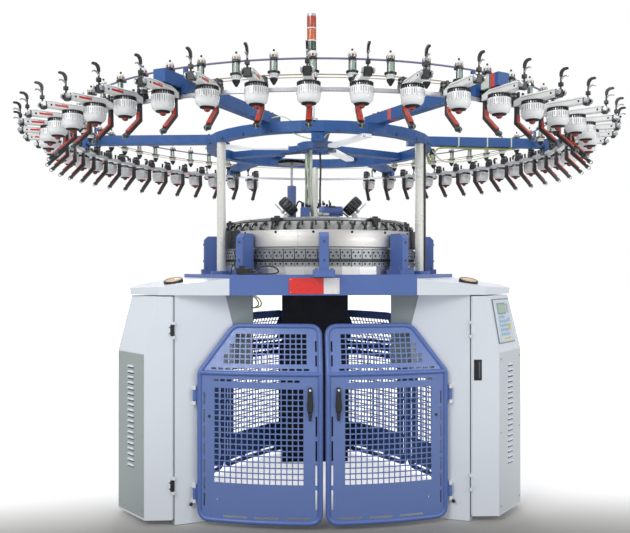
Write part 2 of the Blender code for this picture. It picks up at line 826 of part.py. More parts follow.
def make_head():
    ring_solid("lower_cam_ring", HEAD_R, BED_TOP_Z + GAP, LOWER_RING_TOP_Z, "polished_steel")
    make_selector_ring()
    profile = [
        (0.0, BAND_TOP_Z),
        (BAND_R - 0.02, BAND_TOP_Z),
        (BAND_R, BAND_TOP_Z - 0.006),
        (BAND_R, BAND_BOTTOM_Z),
        (BAND_R - 0.018, BAND_BOTTOM_Z - 0.002),
        (BAND_R - 0.018, SELECTOR_TOP_Z + GAP),
        (0.0, SELECTOR_TOP_Z + GAP),
    ]
    turned("needle_band", profile, HEAD_STEPS, "polished_steel")
    guide = [
        (0.0, GUIDE_TOP_Z),
        (GUIDE_R - 0.045, GUIDE_TOP_Z),
        (GUIDE_R, BAND_TOP_Z + 0.012),
        (GUIDE_R, BAND_TOP_Z + GAP),
        (0.0, BAND_TOP_Z + GAP),
    ]
    turned("yarn_guide_ring", guide, HEAD_STEPS, "dark_steel")
    dial = [
        (0.0, DIAL_TOP_Z + DIAL_HUB_H),
        (DIAL_HUB_R, DIAL_TOP_Z + DIAL_HUB_H),
        (DIAL_HUB_R + 0.02, DIAL_TOP_Z - 0.008),
        (DIAL_R - 0.025, DIAL_TOP_Z - 0.008),
        (DIAL_R - 0.02, DIAL_TOP_Z),
        (DIAL_R, DIAL_TOP_Z - 0.004),
        (DIAL_R, DIAL_TOP_Z - 0.018),
        (DIAL_R - 0.03, GUIDE_TOP_Z + GAP),
        (0.0, GUIDE_TOP_Z + GAP),
    ]
    turned("dial", dial, HEAD_STEPS, "polished_steel")


def make_dial_top():
    """Blue motor, two tilted fans on arms, and the upright drive with its pulley."""
    top = DIAL_TOP_Z + DIAL_HUB_H
    body = turned("dial_motor", [(0.0, MOTOR_L), (MOTOR_R, MOTOR_L), (MOTOR_R, 0.0), (0.0, 0.0)], 16, "blue_paint")
    raised = Matrix.Translation((0.0, MOTOR_Y, top + MOTOR_R + MOTOR_FOOT_H))
    body.data.transform(raised @ Matrix.Rotation(pi / 2, 4, "Y"))
    foot_size = (MOTOR_L * 0.7, MOTOR_R * 1.5, MOTOR_R)
    foot = box("motor_foot", foot_size, (MOTOR_L / 2, MOTOR_Y, top + GAP + MOTOR_R / 2), "blue_paint")
    fuse(body, [foot])
    for name, side in (("left", -1), ("right", 1)):
        round_case = [(0.0, FAN_T), (FAN_R, FAN_T), (FAN_R, 0.0), (0.0, 0.0)]
        drum = turned("fan_" + name, round_case, 16, "black_plastic")
        drum.data.transform(
            Matrix.Translation((side * FAN_X, FAN_Y, FAN_Z)) @ Matrix.Rotation(radians(side * FAN_TILT), 4, "Y")
        )
        foot_x = FAN_X + 0.085
        arm_low = DIAL_TOP_Z - 0.008 + GAP
        arm = side_plate(
            "arm",
            [
                (FAN_X - 0.01, FAN_Z - 0.02),
                (FAN_X + 0.015, FAN_Z + 0.006),
                (foot_x, arm_low + FAN_ARM_T),
                (foot_x + 0.04, arm_low + FAN_ARM_T),
                (foot_x + 0.04, arm_low),
                (foot_x - 0.012, arm_low),
            ],
            FAN_ARM_W,
            "black_plastic",
        )
        if side < 0:
            mirror_x(arm.data)
        arm.data.transform(Matrix.Translation((0.0, FAN_Y, 0.0)))
        fuse(drum, [arm])
    drive = [
        (0.0, PULLEY_TOP_Z),
        (PULLEY_R, PULLEY_TOP_Z),
        (PULLEY_R, PULLEY_TOP_Z - PULLEY_H),
        (DRIVE_ROD_R, PULLEY_TOP_Z - PULLEY_H),
        (DRIVE_ROD_R, DRIVE_SLEEVE_TOP_Z),
        (DRIVE_SLEEVE_R, DRIVE_SLEEVE_TOP_Z),
        (DRIVE_SLEEVE_R, DIAL_TOP_Z - 0.008 + GAP),
        (0.0, DIAL_TOP_Z - 0.008 + GAP),
    ]
    shaft = turned("dial_drive", drive, 16, "blue_paint")
    shaft.data.transform(Matrix.Translation((DRIVE_X, DRIVE_Y, 0.0)))


def make_columns():
    for name, angle in LEG_ANGLES.items():
        low = BED_TOP_Z + PAD_H + GAP
        high = RING_BOTTOM_Z - GAP
        profile = [(0.0, high), (COLUMN_R, high), (COLUMN_R, low), (0.0, low)]
        shaft = turned("column_" + name, profile, 16, "column_steel")
        turn_to(shaft, angle, (COLUMN_PCD, 0.0, 0.0))


def arm_directions():
    return sorted((FRONT + side * turn) % 360.0 for turn in ARM_ANGLES for side in (-1, 1))


def make_creel_frame():
    """The blue ring on the columns with its hub and spokes, and the six creel arms on top."""
    frame = ring_solid(
        "creel_frame", RING_OUT_R, RING_BOTTOM_Z, RING_TOP_Z, "blue_paint", RING_IN_R, RING_STEPS
    )
    middle = (RING_BOTTOM_Z + RING_TOP_Z) / 2
    hub = ring_solid("hub", HUB_OUT_R, middle - HUB_H / 2, middle + HUB_H / 2, "blue_paint", HUB_IN_R, 24)
    lug_x = LIGHTS[0][0] - (LIGHT_L + LIGHT_LUG_L) / 2 + LIGHT_LUG_W
    lug_size = (LIGHT_LUG_L, LIGHT_LUG_W, LIGHT_LUG_T)
    joined = [hub, box("lug", lug_size, (lug_x, LIGHTS[0][1], RING_BOTTOM_Z + LIGHT_LUG_T / 2), "blue_paint")]
    for k in range(3):
        start = HUB_OUT_R - 0.012
        end = RING_IN_R + 0.008
        size = (end - start, SPOKE_W, SPOKE_H)
        joined.append(box("spoke", size, ((start + end) / 2, 0.0, middle), "blue_paint", 30.0 + k * FOLD))
    for direction in arm_directions():
        length = ARM_OUTER_R - ARM_INNER_R
        arm = box(
            "arm",
            (length, ARM_W, ARM_H),
            ((ARM_OUTER_R + ARM_INNER_R) / 2, 0.0, RING_TOP_Z - 0.002 + ARM_H / 2),
            "blue_paint",
            direction,
        )
        hanger_low = CREEL_Z + CREEL_BAR_H / 2 + GAP
        hanger_high = RING_TOP_Z + 0.01
        front_side = -1 if cos(radians(direction)) > 0.0 else 1
        hanger = box(
            "hanger",
            (HANGER_T, HANGER_W, hanger_high - hanger_low),
            (CREEL_R, front_side * ((ARM_W + HANGER_W) / 2 - HANGER_BITE), (hanger_high + hanger_low) / 2),
            "blue_paint",
            direction,
        )
        pin_low = RING_TOP_Z - 0.002 + ARM_H - 0.005
        pin_high = UPPER_Z - UPPER_ROD_R - GAP
        pin_size = (0.012, 0.02, pin_high - pin_low)
        pin = box("pin", pin_size, (UPPER_R, 0.0, (pin_low + pin_high) / 2), "blue_paint", direction)
        joined += [arm, hanger, pin]
    return fuse(frame, joined)


def light_place(k):
    """(x, y, direction, top) of a light bar: under the ring or a lug of it, or under a spoke."""
    x, y, direction = LIGHTS[k]
    if hypot(x, y) > (HUB_OUT_R + RING_IN_R) / 2:
        return x, y, direction, RING_BOTTOM_Z - GAP
    return x, y, direction, (RING_BOTTOM_Z + RING_TOP_Z - max(SPOKE_H, HUB_H)) / 2 - GAP


def make_lights():
    """Three white light bars under the creel frame, each set off its middle as on the machine."""
    for k in range(len(LIGHTS)):
        x, y, direction, top = light_place(k)
        bar = box("light_bar_%d" % (k + 1), (LIGHT_L, LIGHT_W, LIGHT_T), (0.0, 0.0, 0.0), "white_plastic")
        place = Matrix.Translation((x, y, top - LIGHT_T / 2))
        bar.data.transform(place @ Matrix.Rotation(radians(direction), 4, "Z"))
        bevel = bar.modifiers.new("edge", "BEVEL")
        bevel.width = 0.004
        bevel.segments = 1


def arc_points(radius, z, start, end, pitch=5.0):
    steps = max(2, round(abs(end - start) / pitch))
    return [(*polar(radius, start + (end - start) * k / steps), z) for k in range(steps + 1)]


def feeder_angles():
    """Directions of the large feeders: an even row round the front, closer rows at the back."""
    first = FRONT - FRONT_PITCH * (FRONT_FEEDERS - 1) / 2
    angles = [first + FRONT_PITCH * k for k in range(FRONT_FEEDERS)]
    for side in (-1, 1):
        angles += [90.0 + side * (REAR_GAP_HALF + REAR_PITCH * k) for k in range(REAR_FEEDERS)]
    return sorted(angle % 360.0 for angle in angles)


def make_feeder():
    """One large feeder: housing on the ring, storage drum below, hooked guide outside, yarn arm inside."""
    housing = side_plate(
        "housing",
        [
            (-HOUSING_IN, HOUSING_BOTTOM),
            (HOUSING_OUT, HOUSING_BOTTOM),
            (HOUSING_OUT, HOUSING_TOP - 0.012),
            (HOUSING_OUT - HOUSING_NOSE, HOUSING_TOP),
            (-HOUSING_IN, HOUSING_TOP),
        ],
        HOUSING_W,
        "white_plastic",
    )
    taper = HOUSING_BOTTOM - DRUM_H
    drum = turned(
        "drum",
        [
            (0.0, HOUSING_BOTTOM + 0.004),
            (DRUM_R, HOUSING_BOTTOM - 0.004),
            (DRUM_R, taper),
            (DRUM_NUB_R, taper - DRUM_TAPER_H),
            (0.0, taper - DRUM_TAPER_H - DRUM_NUB_H),
        ],
        DRUM_STEPS,
        "white_plastic",
    )
    drum.data.transform(Matrix.Translation((DRUM_AT, 0.0, 0.0)))
    knee = -YARN_ARM_DROP
    yarn_arm = side_plate(
        "yarn_arm",
        [
            (YARN_ARM_AT, HOUSING_BOTTOM + 0.004),
            (YARN_ARM_AT, knee),
            (YARN_ARM_AT + YARN_ARM_REACH, knee - YARN_ARM_FALL),
            (YARN_ARM_AT + YARN_ARM_REACH + 0.010, knee - YARN_ARM_FALL + 0.010),
            (YARN_ARM_AT + YARN_ARM_T, knee + 0.006),
            (YARN_ARM_AT + YARN_ARM_T, HOUSING_BOTTOM + 0.004),
        ],
        YARN_ARM_W,
        "black_plastic",
    )
    top = HOUSING_TOP + HOOK_RISE
    hook = side_plate(
        "hook",
        [
            (HOUSING_OUT - 0.01, HOUSING_BOTTOM + 0.006),
            (HOOK_AT, HOUSING_BOTTOM + 0.006),
            (HOOK_AT + HOOK_T, top - 0.02),
            (HOOK_AT + HOOK_T + HOOK_REACH, top),
            (HOOK_AT, top - 0.01),
            (HOOK_AT, HOUSING_TOP - 0.02),
            (HOUSING_OUT - 0.01, HOUSING_TOP - 0.02),
        ],
        HOOK_W,
        "black_plastic",
    )
    feeder = fuse(housing, [drum, yarn_arm, hook])
    feeder.data.transform(Matrix.Translation((CREEL_R, 0.0, CREEL_Z)))
    return feeder


def bar_ring(name, radius, z, width, height, start, end, mat):
    """A flat bar bent round the machine axis from one direction to another."""
    outside = [p[:2] for p in arc_points(radius + width / 2, 0.0, start, end)]
    inside = [p[:2] for p in arc_points(radius - width / 2, 0.0, end, start)]
    return plate(name, outside + inside, z - height / 2, z + height / 2, mat)


def make_creel_rows():
    """The creel ring in three lengths, each carrying its large feeders."""
    feeder = make_feeder()
    angles = feeder_angles()
    joint_gap = GAP / CREEL_R * 180 / pi
    for k, name in enumerate(("front", "right", "left")):
        start = row_joint(k)
        end = row_joint(k + 1)
        low = start + joint_gap
        high = end - joint_gap
        bar = bar_ring("feeder_row_" + name, CREEL_R, CREEL_Z, CREEL_BAR_T, CREEL_BAR_H, low, high, "white_plastic")
        held = [a for a in angles if 0.0 < (a - start) % 360.0 < end - start]
        fuse(bar, [copy_turned(feeder, "held", a) for a in held])
    bpy.data.objects.remove(feeder, do_unlink=True)


def row_joint(k):
    """Direction of the k-th joint between creel ring lengths: midway between two feeders."""
    wanted = FRONT - 60.0 + k * FOLD
    angles = feeder_angles()
    middles = [(a + b) / 2 for a, b in zip(angles, angles[1:])]
    middles += [m + 360.0 for m in middles]
    return min(middles, key=lambda m: abs(m - wanted))


def make_brake_rows():
    """The thin upper ring in three lengths, each carrying small yarn brakes."""
    profile = [
        (0.0, BRAKE_TOP),
        (BRAKE_CAP_R, BRAKE_TOP - 0.006),
        (BRAKE_DISC_R, BRAKE_DISC_AT),
        (0.0, BRAKE_BOTTOM),
    ]
    brake = turned("brake", profile, BRAKE_STEPS, "violet_rod")
    brake.data.transform(Matrix.Translation((UPPER_R + 0.004, 0.0, UPPER_Z)))
    angles = [FRONT + side * (k + 0.5) * UPPER_PITCH for side in (-1, 1) for k in range(BRAKES_PER_SIDE)]
    for k, name in enumerate(("front", "right", "left")):
        start = FRONT - 60.0 + k * FOLD
        end = start + FOLD
        gap = GAP / UPPER_R * 180 / pi
        width = 2 * UPPER_ROD_R
        rod = bar_ring("brake_row_" + name, UPPER_R, UPPER_Z, width, width, start + gap, end - gap, "violet_rod")
        held = [a for a in angles if 0.0 < (a - start) % 360.0 < FOLD]
        fuse(rod, [copy_turned(brake, "held", a) for a in held])
    bpy.data.objects.remove(brake, do_unlink=True)


def make_lamp():
    """The signal lamp: a pole from the creel frame, lenses between pale bands, a flat cap."""
    y = -(RING_OUT_R + RING_IN_R) / 2
    z = LAMP_TOP_Z - LAMP_CAP_H
    profile = [
        (0.0, LAMP_TOP_Z),
        (LAMP_R * 0.8, LAMP_TOP_Z),
        (LAMP_R, LAMP_TOP_Z - LAMP_CAP_H / 4),
        (LAMP_R, z),
    ]
    for _ in range(LAMP_LENSES):
        z -= LAMP_SEGMENT_H
        profile += [(LAMP_R, z), (LAMP_BAND_R, z), (LAMP_BAND_R, z - LAMP_BAND_H), (LAMP_R, z - LAMP_BAND_H)]
        z -= LAMP_BAND_H
    profile += [
        (LAMP_POLE_R, LAMP_BASE_Z),
        (LAMP_POLE_R, RING_TOP_Z + 1.5 * LAMP_FOOT_H),
        (LAMP_FOOT_R, RING_TOP_Z + LAMP_FOOT_H),
        (LAMP_FOOT_R, RING_TOP_Z + GAP),
        (0.0, RING_TOP_Z + GAP),
    ]
    lamp = turned("signal_lamp", profile, 10, "lamp_plastic")
    lamp.data.transform(Matrix.Translation((LAMP_X, y, 0.0)))


def make_cables():
    """The sleeved cable from the creel frame's hub to the dial, and the one along the right column."""
    hub_top = (RING_BOTTOM_Z + RING_TOP_Z) / 2 + HUB_H / 2
    lying = hub_top + GAP + DIAL_CABLE_R
    foot = DIAL_TOP_Z + DIAL_HUB_H + GAP
    drop = hub_top - foot
    points = [
        (-(HUB_IN_R + HUB_OUT_R) / 2, 0.0, lying),
        (DIAL_CABLE_X - 0.020, 0.0, lying + 0.005),
        (DIAL_CABLE_X, 0.0, lying - 0.015),
        (DIAL_CABLE_X + 0.002, 0.0, foot + drop * 0.75),
        (DIAL_CABLE_X - 0.004, 0.0, foot + drop * 0.45),
        (DIAL_CABLE_X + 0.004, 0.0, foot + drop * 0.18),
        (DIAL_CABLE_X + 0.010, 0.0, foot + 0.030),
        (DIAL_CABLE_X + 0.010, 0.0, foot),
    ]
    tube("dial_cable", points, DIAL_CABLE_R, "cable_sleeve", resolution=2)
    x, y = in_leg(LEG_ANGLES["front_right"], COLUMN_PCD, 0.0)
    across, along = polar(COLUMN_R + GAP + COLUMN_CABLE_R, COLUMN_CABLE_SIDE)
    low = BED_TOP_Z + PAD_H + GAP
    ends = [(x + across, y + along, low), (x + across, y + along, RING_BOTTOM_Z - GAP)]
    tube("column_cable", ends, COLUMN_CABLE_R, "black_plastic", resolution=2)


def cab_outline(lean, inset, seat, side):
    """Plan of a cabinet, from the seam round its front, chamfer, side and rear to the leg.

    inset draws the outer faces in, seat sets the inner side off the leg's end face, and
    lean draws the chamfer and the side in towards the top.
    """
    diagonal = hypot(CAB_SIDE_X - CAB_CORNER_X, CAB_FRONT_Y - CAB_CHAMFER_Y)
    run = (CAB_SIDE_X - CAB_CORNER_X) / diagonal
    rise = (CAB_FRONT_Y - CAB_CHAMFER_Y) / diagonal
    front_y = CAB_FRONT_Y - inset
    side_x = CAB_SIDE_X - lean - inset
    reach = (CAB_CORNER_X - lean) * rise + CAB_FRONT_Y * run - inset
    leg_rear = in_leg(330.0, LEG_OUTER_E + seat, LEG_OUTER_HALF)
    outline = [
        (seam_x(seat, front_y), -front_y),
        ((reach - front_y * run) / rise, -front_y),
        (side_x, -(reach - side_x * rise) / run),
        (side_x, -(CAB_REAR_Y + inset)),
        (CAB_REAR_IN[0], -(CAB_REAR_IN[1] + inset)),
        leg_rear,
    ]
    return [(side * x, y) for x, y in outline]


def cab_solid(name, side, inset, seat, mat):
    """The cabinet's outer volume with its faces drawn in, straight below and leaning above the shoulder."""
    bm = bmesh.new()
    levels = (CAB_BOTTOM_Z + inset, CAB_SHOULDER_Z, SEAT_Z - CAB_TOP_GAP - inset)
    rings = []
    for lean, z in zip((0.0, 0.0, CAB_LEAN), levels):
        rings.append([bm.verts.new((x, y, z)) for x, y in cab_outline(lean, inset, seat, side)])
    bm.faces.new(rings[0])
    bm.faces.new(rings[2])
    for below, above in zip(rings, rings[1:]):
        for i in range(len(below)):
            j = (i + 1) % len(below)
            bm.faces.new((below[i], below[j], above[j], above[i]))
    bmesh.ops.recalc_face_normals(bm, faces=bm.faces)
    mesh = bpy.data.meshes.new(name)
    bm.to_mesh(mesh)
    bm.free()
    return put(name, mesh, mat)


def make_cabinet(name, side):
    """A cabinet behind its cover: side, rear, floor and roof sheets, open to the front and the chamfer."""
    depth = CAB_SKIN + CAB_DOOR_GAP
    outer = cab_solid("cabinet_" + name, side, depth, GAP, "grey_paint")
    hollow = cab_solid("hollow", side, depth + CAB_WALL, GAP + CAB_WALL, "grey_paint")
    front = hollow.data.copy()
    front.transform(Matrix.Translation((side * CAB_OPEN_SHIFT, -CAB_OPEN_SHIFT * 1.5, 0.0)))
    return cut(outer, [hollow, put("mouth", front, "grey_paint")])


def make_cabinet_door(name, side):
    """The cabinet cover: front sheet and chamfer bent from one sheet, hinged at the seam."""
    outside = cab_solid("cabinet_door_" + name, side, 0.0, CAB_COVER_SEAT, "grey_paint")
    inside = cab_solid("inside", side, CAB_SKIN, 0.0, "grey_paint")
    behind = box("behind", (1.0, 1.0, 3.0), (side * 1.2, 0.5 - CAB_CHAMFER_Y + CAB_EDGE, 0.7), "grey_paint")
    shell = cut(cut(outside, [inside]), [behind])
    x, y = cabinet_axis(side)
    barrels = []
    for height in CAB_HINGE_HEIGHTS:
        high = height + CAB_HINGE_L / 2
        low = height - CAB_HINGE_L / 2
        profile = [(0.0, high), (CAB_HINGE_R, high), (CAB_HINGE_R, low), (0.0, low)]
        barrel = turned("barrel", profile, 8, "grey_paint")
        barrel.data.transform(Matrix.Translation((x, y, 0.0)))
        strap = box(
            "strap",
            (4 * CAB_HINGE_R, CAB_HINGE_R * 1.2, CAB_HINGE_L * 0.9),
            (x + side * 2.2 * CAB_HINGE_R, y + CAB_HINGE_R * 0.5, height),
            "grey_paint",
        )
        barrels.append(fuse(barrel, [strap]))
    door = fuse(shell, barrels)
    door.data.transform(Matrix.Translation((-x, -y, 0.0)))
    door.location = (x, y, 0.0)
    return door


def make_lid(name, side):
    """The sloping lid over a front leg and its cabinet, with a round button plate."""
    step = Vector(in_leg(330.0, LID_BED_GAP, 0.0))
    far = Matrix.Rotation(radians(120.0), 2) @ Vector((-BED_FACE_HALF, -BED_FACE_R))
    outline = [
        (BED_FACE_HALF + step.x, -BED_FACE_R + step.y),
        (CAB_CORNER_X - CAB_LEAN, -(CAB_FRONT_Y + LID_LAP)),
        (CAB_SIDE_X - CAB_LEAN + LID_LAP, -(CAB_CHAMFER_Y + CAB_LEAN * 0.35)),
        (CAB_SIDE_X - CAB_LEAN + LID_LAP, -CAB_REAR_Y),
        (far.x + step.x, far.y + step.y),
    ]
    lid = plate("cabinet_lid_" + name, outline, SEAT_Z + GAP, LID_INNER_Z, "grey_paint")
    for vertex in lid.data.vertices:
        if vertex.co.z > SEAT_Z + 0.01:
            vertex.co.z = lid_height(vertex.co.x, vertex.co.y)
    plate_high = lid_height(*in_leg(330.0, BUTTON_E, 0.0))
    profile = [(0.0, BUTTON_H), (BUTTON_R * 0.85, BUTTON_H), (BUTTON_R, BUTTON_H * 0.4)]
    profile += [(BUTTON_R, -BUTTON_ROOT), (0.0, -BUTTON_ROOT)]
    button = turned("button", profile, 16, "grey_paint")
    slope = atan2(LID_INNER_Z - LID_OUTER_Z, LID_OUTER_E - LID_INNER_E)
    tilt = Matrix.Rotation(radians(-30.0), 4, "Z") @ Matrix.Rotation(slope, 4, "Y")
    place = Matrix.Translation((*in_leg(330.0, BUTTON_E, 0.0), plate_high))
    button.data.transform(place @ tilt)
    lid = fuse(lid, [button])
    if side < 0:
        mirror_x(lid.data)


def lid_height(x, y):
    """Height of the right lid's top, which falls away from the bed."""
    outward = x * cos(radians(-30.0)) + y * sin(radians(-30.0))
    share = (outward - LID_INNER_E) / (LID_OUTER_E - LID_INNER_E)
    return LID_INNER_Z + share * (LID_OUTER_Z - LID_INNER_Z)


def make_control_panel():
    """The operating panel on the leaning chamfer of the right cabinet cover."""
    low = [Vector((x, y, CAB_SHOULDER_Z)) for x, y in cab_outline(0.0, 0.0, 0.0, 1)[1:3]]
    high = [Vector((x, y, SEAT_Z - CAB_TOP_GAP)) for x, y in cab_outline(CAB_LEAN, 0.0, 0.0, 1)[1:3]]
    across = (low[1] - low[0]).normalized()
    up = ((high[0] + high[1]) - (low[0] + low[1]))
    up = (up - across * up.dot(across)).normalized()
    out = across.cross(up).normalized()
    middle = (low[0] + low[1] + high[0] + high[1]) / 4 + up * PANEL_RISE + out * (GAP + PANEL_T / 2)
    panel = box("control_panel", (PANEL_W, PANEL_L, PANEL_T), (0.0, 0.0, 0.0), "black_plastic")
    turn = Matrix((across, up, out)).transposed().to_4x4()
    panel.data.transform(Matrix.Translation(middle) @ turn)
    x, y = cabinet_axis(1)
    panel.data.transform(Matrix.Translation((-x, -y, 0.0)))
    panel.location = (x, y, 0.0)
    bevel = panel.modifiers.new("edge", "BEVEL")
    bevel.width = 0.002
    bevel.segments = 1


if __name__ == "__main__":
    clear_scene()
    MODEL = new_collection("jacquard_knitting_machine")
    for leg_name, leg_angle in LEG_ANGLES.items():
        make_leg(leg_name, leg_angle)
    make_bed()
    make_head()
    make_dial_top()
    make_columns()
    make_creel_frame()
    make_lights()
    make_creel_rows()
    make_brake_rows()
    make_lamp()
    make_cables()
    for pair, pair_angle in DOOR_PAIRS.items():
        make_door("door_%s_left_leaf" % pair, pair_angle, -1)
        make_door("door_%s_right_leaf" % pair, pair_angle, 1)
    for side_name, side_sign in (("left", -1), ("right", 1)):
        make_cabinet(side_name, side_sign)
        make_cabinet_door(side_name, side_sign)
        make_lid(side_name, side_sign)
    make_control_panel()
    for piece in MODEL.objects:
        piece.location.y += AXIS_Y
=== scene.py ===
"""Looks of the circular jacquard knitting machine: detailed pieces, materials, camera and light."""

from math import cos, pi, radians, sin, tan

import bmesh
import bpy
from mathutils import Matrix, Vector


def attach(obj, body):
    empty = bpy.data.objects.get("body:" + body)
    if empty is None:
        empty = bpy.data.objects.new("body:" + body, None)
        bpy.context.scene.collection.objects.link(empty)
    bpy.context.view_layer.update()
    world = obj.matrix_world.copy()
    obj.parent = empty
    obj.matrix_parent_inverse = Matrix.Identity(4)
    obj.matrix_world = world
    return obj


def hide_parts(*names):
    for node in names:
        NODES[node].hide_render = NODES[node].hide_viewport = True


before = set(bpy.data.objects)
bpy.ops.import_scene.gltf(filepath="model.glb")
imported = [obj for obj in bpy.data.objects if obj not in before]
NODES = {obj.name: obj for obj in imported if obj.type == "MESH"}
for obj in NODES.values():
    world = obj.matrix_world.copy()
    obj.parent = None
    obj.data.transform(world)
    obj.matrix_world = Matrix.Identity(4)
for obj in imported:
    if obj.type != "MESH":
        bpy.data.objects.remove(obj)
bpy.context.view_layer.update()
FRONT = 270.0
FOLD = 120.0
AXIS_Y = 0.04129

# Camera: one level perspective, fitted to the photograph
CAMERA_PLACE = (-0.1869, -4.3962 + AXIS_Y, 1.378)
CAMERA_SWING = -2.15
LENS_MM = 40.0
SENSOR_MM = 36.0
SHIFT_UP = 0.0024

cam_data = bpy.data.cameras.new("photo_camera")
cam_data.lens = LENS_MM
cam_data.sensor_width = SENSOR_MM
cam_data.shift_y = SHIFT_UP
camera = bpy.data.objects.new("photo_camera", cam_data)
camera.location = CAMERA_PLACE
camera.rotation_euler = (radians(90.0), 0.0, radians(CAMERA_SWING))
bpy.context.scene.collection.objects.link(camera)
bpy.context.scene.camera = camera


# Materials

def new_material(name):
    mat = bpy.data.materials.new(name)
    mat.use_nodes = True
    tree = mat.node_tree
    return mat, tree, tree.nodes["Principled BSDF"]


def link(tree, a, b):
    tree.links.new(a, b)


def add_node(tree, kind, sources, values=()):
    """A shader node with some inputs linked from other nodes and some set."""
    node = tree.nodes.new("ShaderNode" + kind)
    for socket, source in sources:
        link(tree, source, node.inputs[socket])
    for socket, value in values:
        node.inputs[socket].default_value = value
    return node


def noise(tree, coords, scale, detail=3.0):
    values = (("Scale", scale), ("Detail", detail), ("Roughness", 0.55))
    return add_node(tree, "TexNoise", [("Vector", coords)], values).outputs["Fac"]


def spread(tree, value, low, high):
    limits = (("From Min", 0.3), ("From Max", 0.7), ("To Min", low), ("To Max", high))
    return add_node(tree, "MapRange", [("Value", value)], limits).outputs["Result"]


def blend_colours(tree, value, first, second):
    node = add_node(tree, "Mix", [(0, value)])
    node.data_type = "RGBA"
    node.inputs[6].default_value = (*first, 1.0)
    node.inputs[7].default_value = (*second, 1.0)
    return node.outputs[2]


def length_of(tree, vector):
    node = add_node(tree, "VectorMath", [(0, vector)])
    node.operation = "LENGTH"
    return node.outputs["Value"]


def turned(tree, coords):
    """Coordinates that don't change round the Z axis, for a finish left by a lathe."""
    parts = add_node(tree, "SeparateXYZ", [("Vector", coords)]).outputs
    flat = add_node(tree, "CombineXYZ", [("X", parts["X"]), ("Y", parts["Y"])]).outputs["Vector"]
    sources = [("X", length_of(tree, flat)), ("Z", parts["Z"])]
    return add_node(tree, "CombineXYZ", sources).outputs["Vector"]


def surface(name, colour, rough, metal=0.0, vary=0.07, scale=7.0, grain=420.0, bump=0.12, coat=0.0,
        around=False):
    """A finish with broad colour changes, fine roughness changes and a fine grain in its relief."""
    mat, tree, shader = new_material(name)
    coords = tree.nodes.new("ShaderNodeTexCoord").outputs["Object"]
    fine = turned(tree, coords) if around else coords
    low = tuple(c * (1.0 - vary) for c in colour)
    high = tuple(min(1.0, c * (1.0 + vary)) for c in colour)
    link(tree, blend_colours(tree, noise(tree, coords, scale), low, high), shader.inputs["Base Color"])
    wear = spread(tree, noise(tree, fine, grain * 0.08), rough * 0.82, min(1.0, rough * 1.2))
    link(tree, wear, shader.inputs["Roughness"])
    relief = [("Height", noise(tree, fine, grain, 2.0))]
    relief = add_node(tree, "Bump", relief, (("Strength", bump), ("Distance", GRAIN_DEEP)))
    link(tree, relief.outputs["Normal"], shader.inputs["Normal"])
    for socket, value in (("Metallic", metal), ("Coat Weight", coat), ("Coat Roughness", COAT_ROUGH)):
        shader.inputs[socket].default_value = value
    mat.diffuse_color = (*colour, 1.0)
    return mat


def glow(name, colour, strength, rough=0.3):
    mat = surface(name, colour, rough, vary=0.03)
    shader = mat.node_tree.nodes["Principled BSDF"]
    shader.inputs["Emission Color"].default_value = (*colour, 1.0)
    shader.inputs["Emission Strength"].default_value = strength
    return mat


def lens(name, colour, strength):
    """Ribbed coloured lamp plastic, a little see-through."""
    mat = surface(name, colour, 0.16, vary=0.12, scale=40.0, coat=0.6)
    shader = mat.node_tree.nodes["Principled BSDF"]
    shader.inputs["Transmission Weight"].default_value = 0.15
    shader.inputs["Emission Color"].default_value = (*colour, 1.0)
    shader.inputs["Emission Strength"].default_value = strength
    return mat


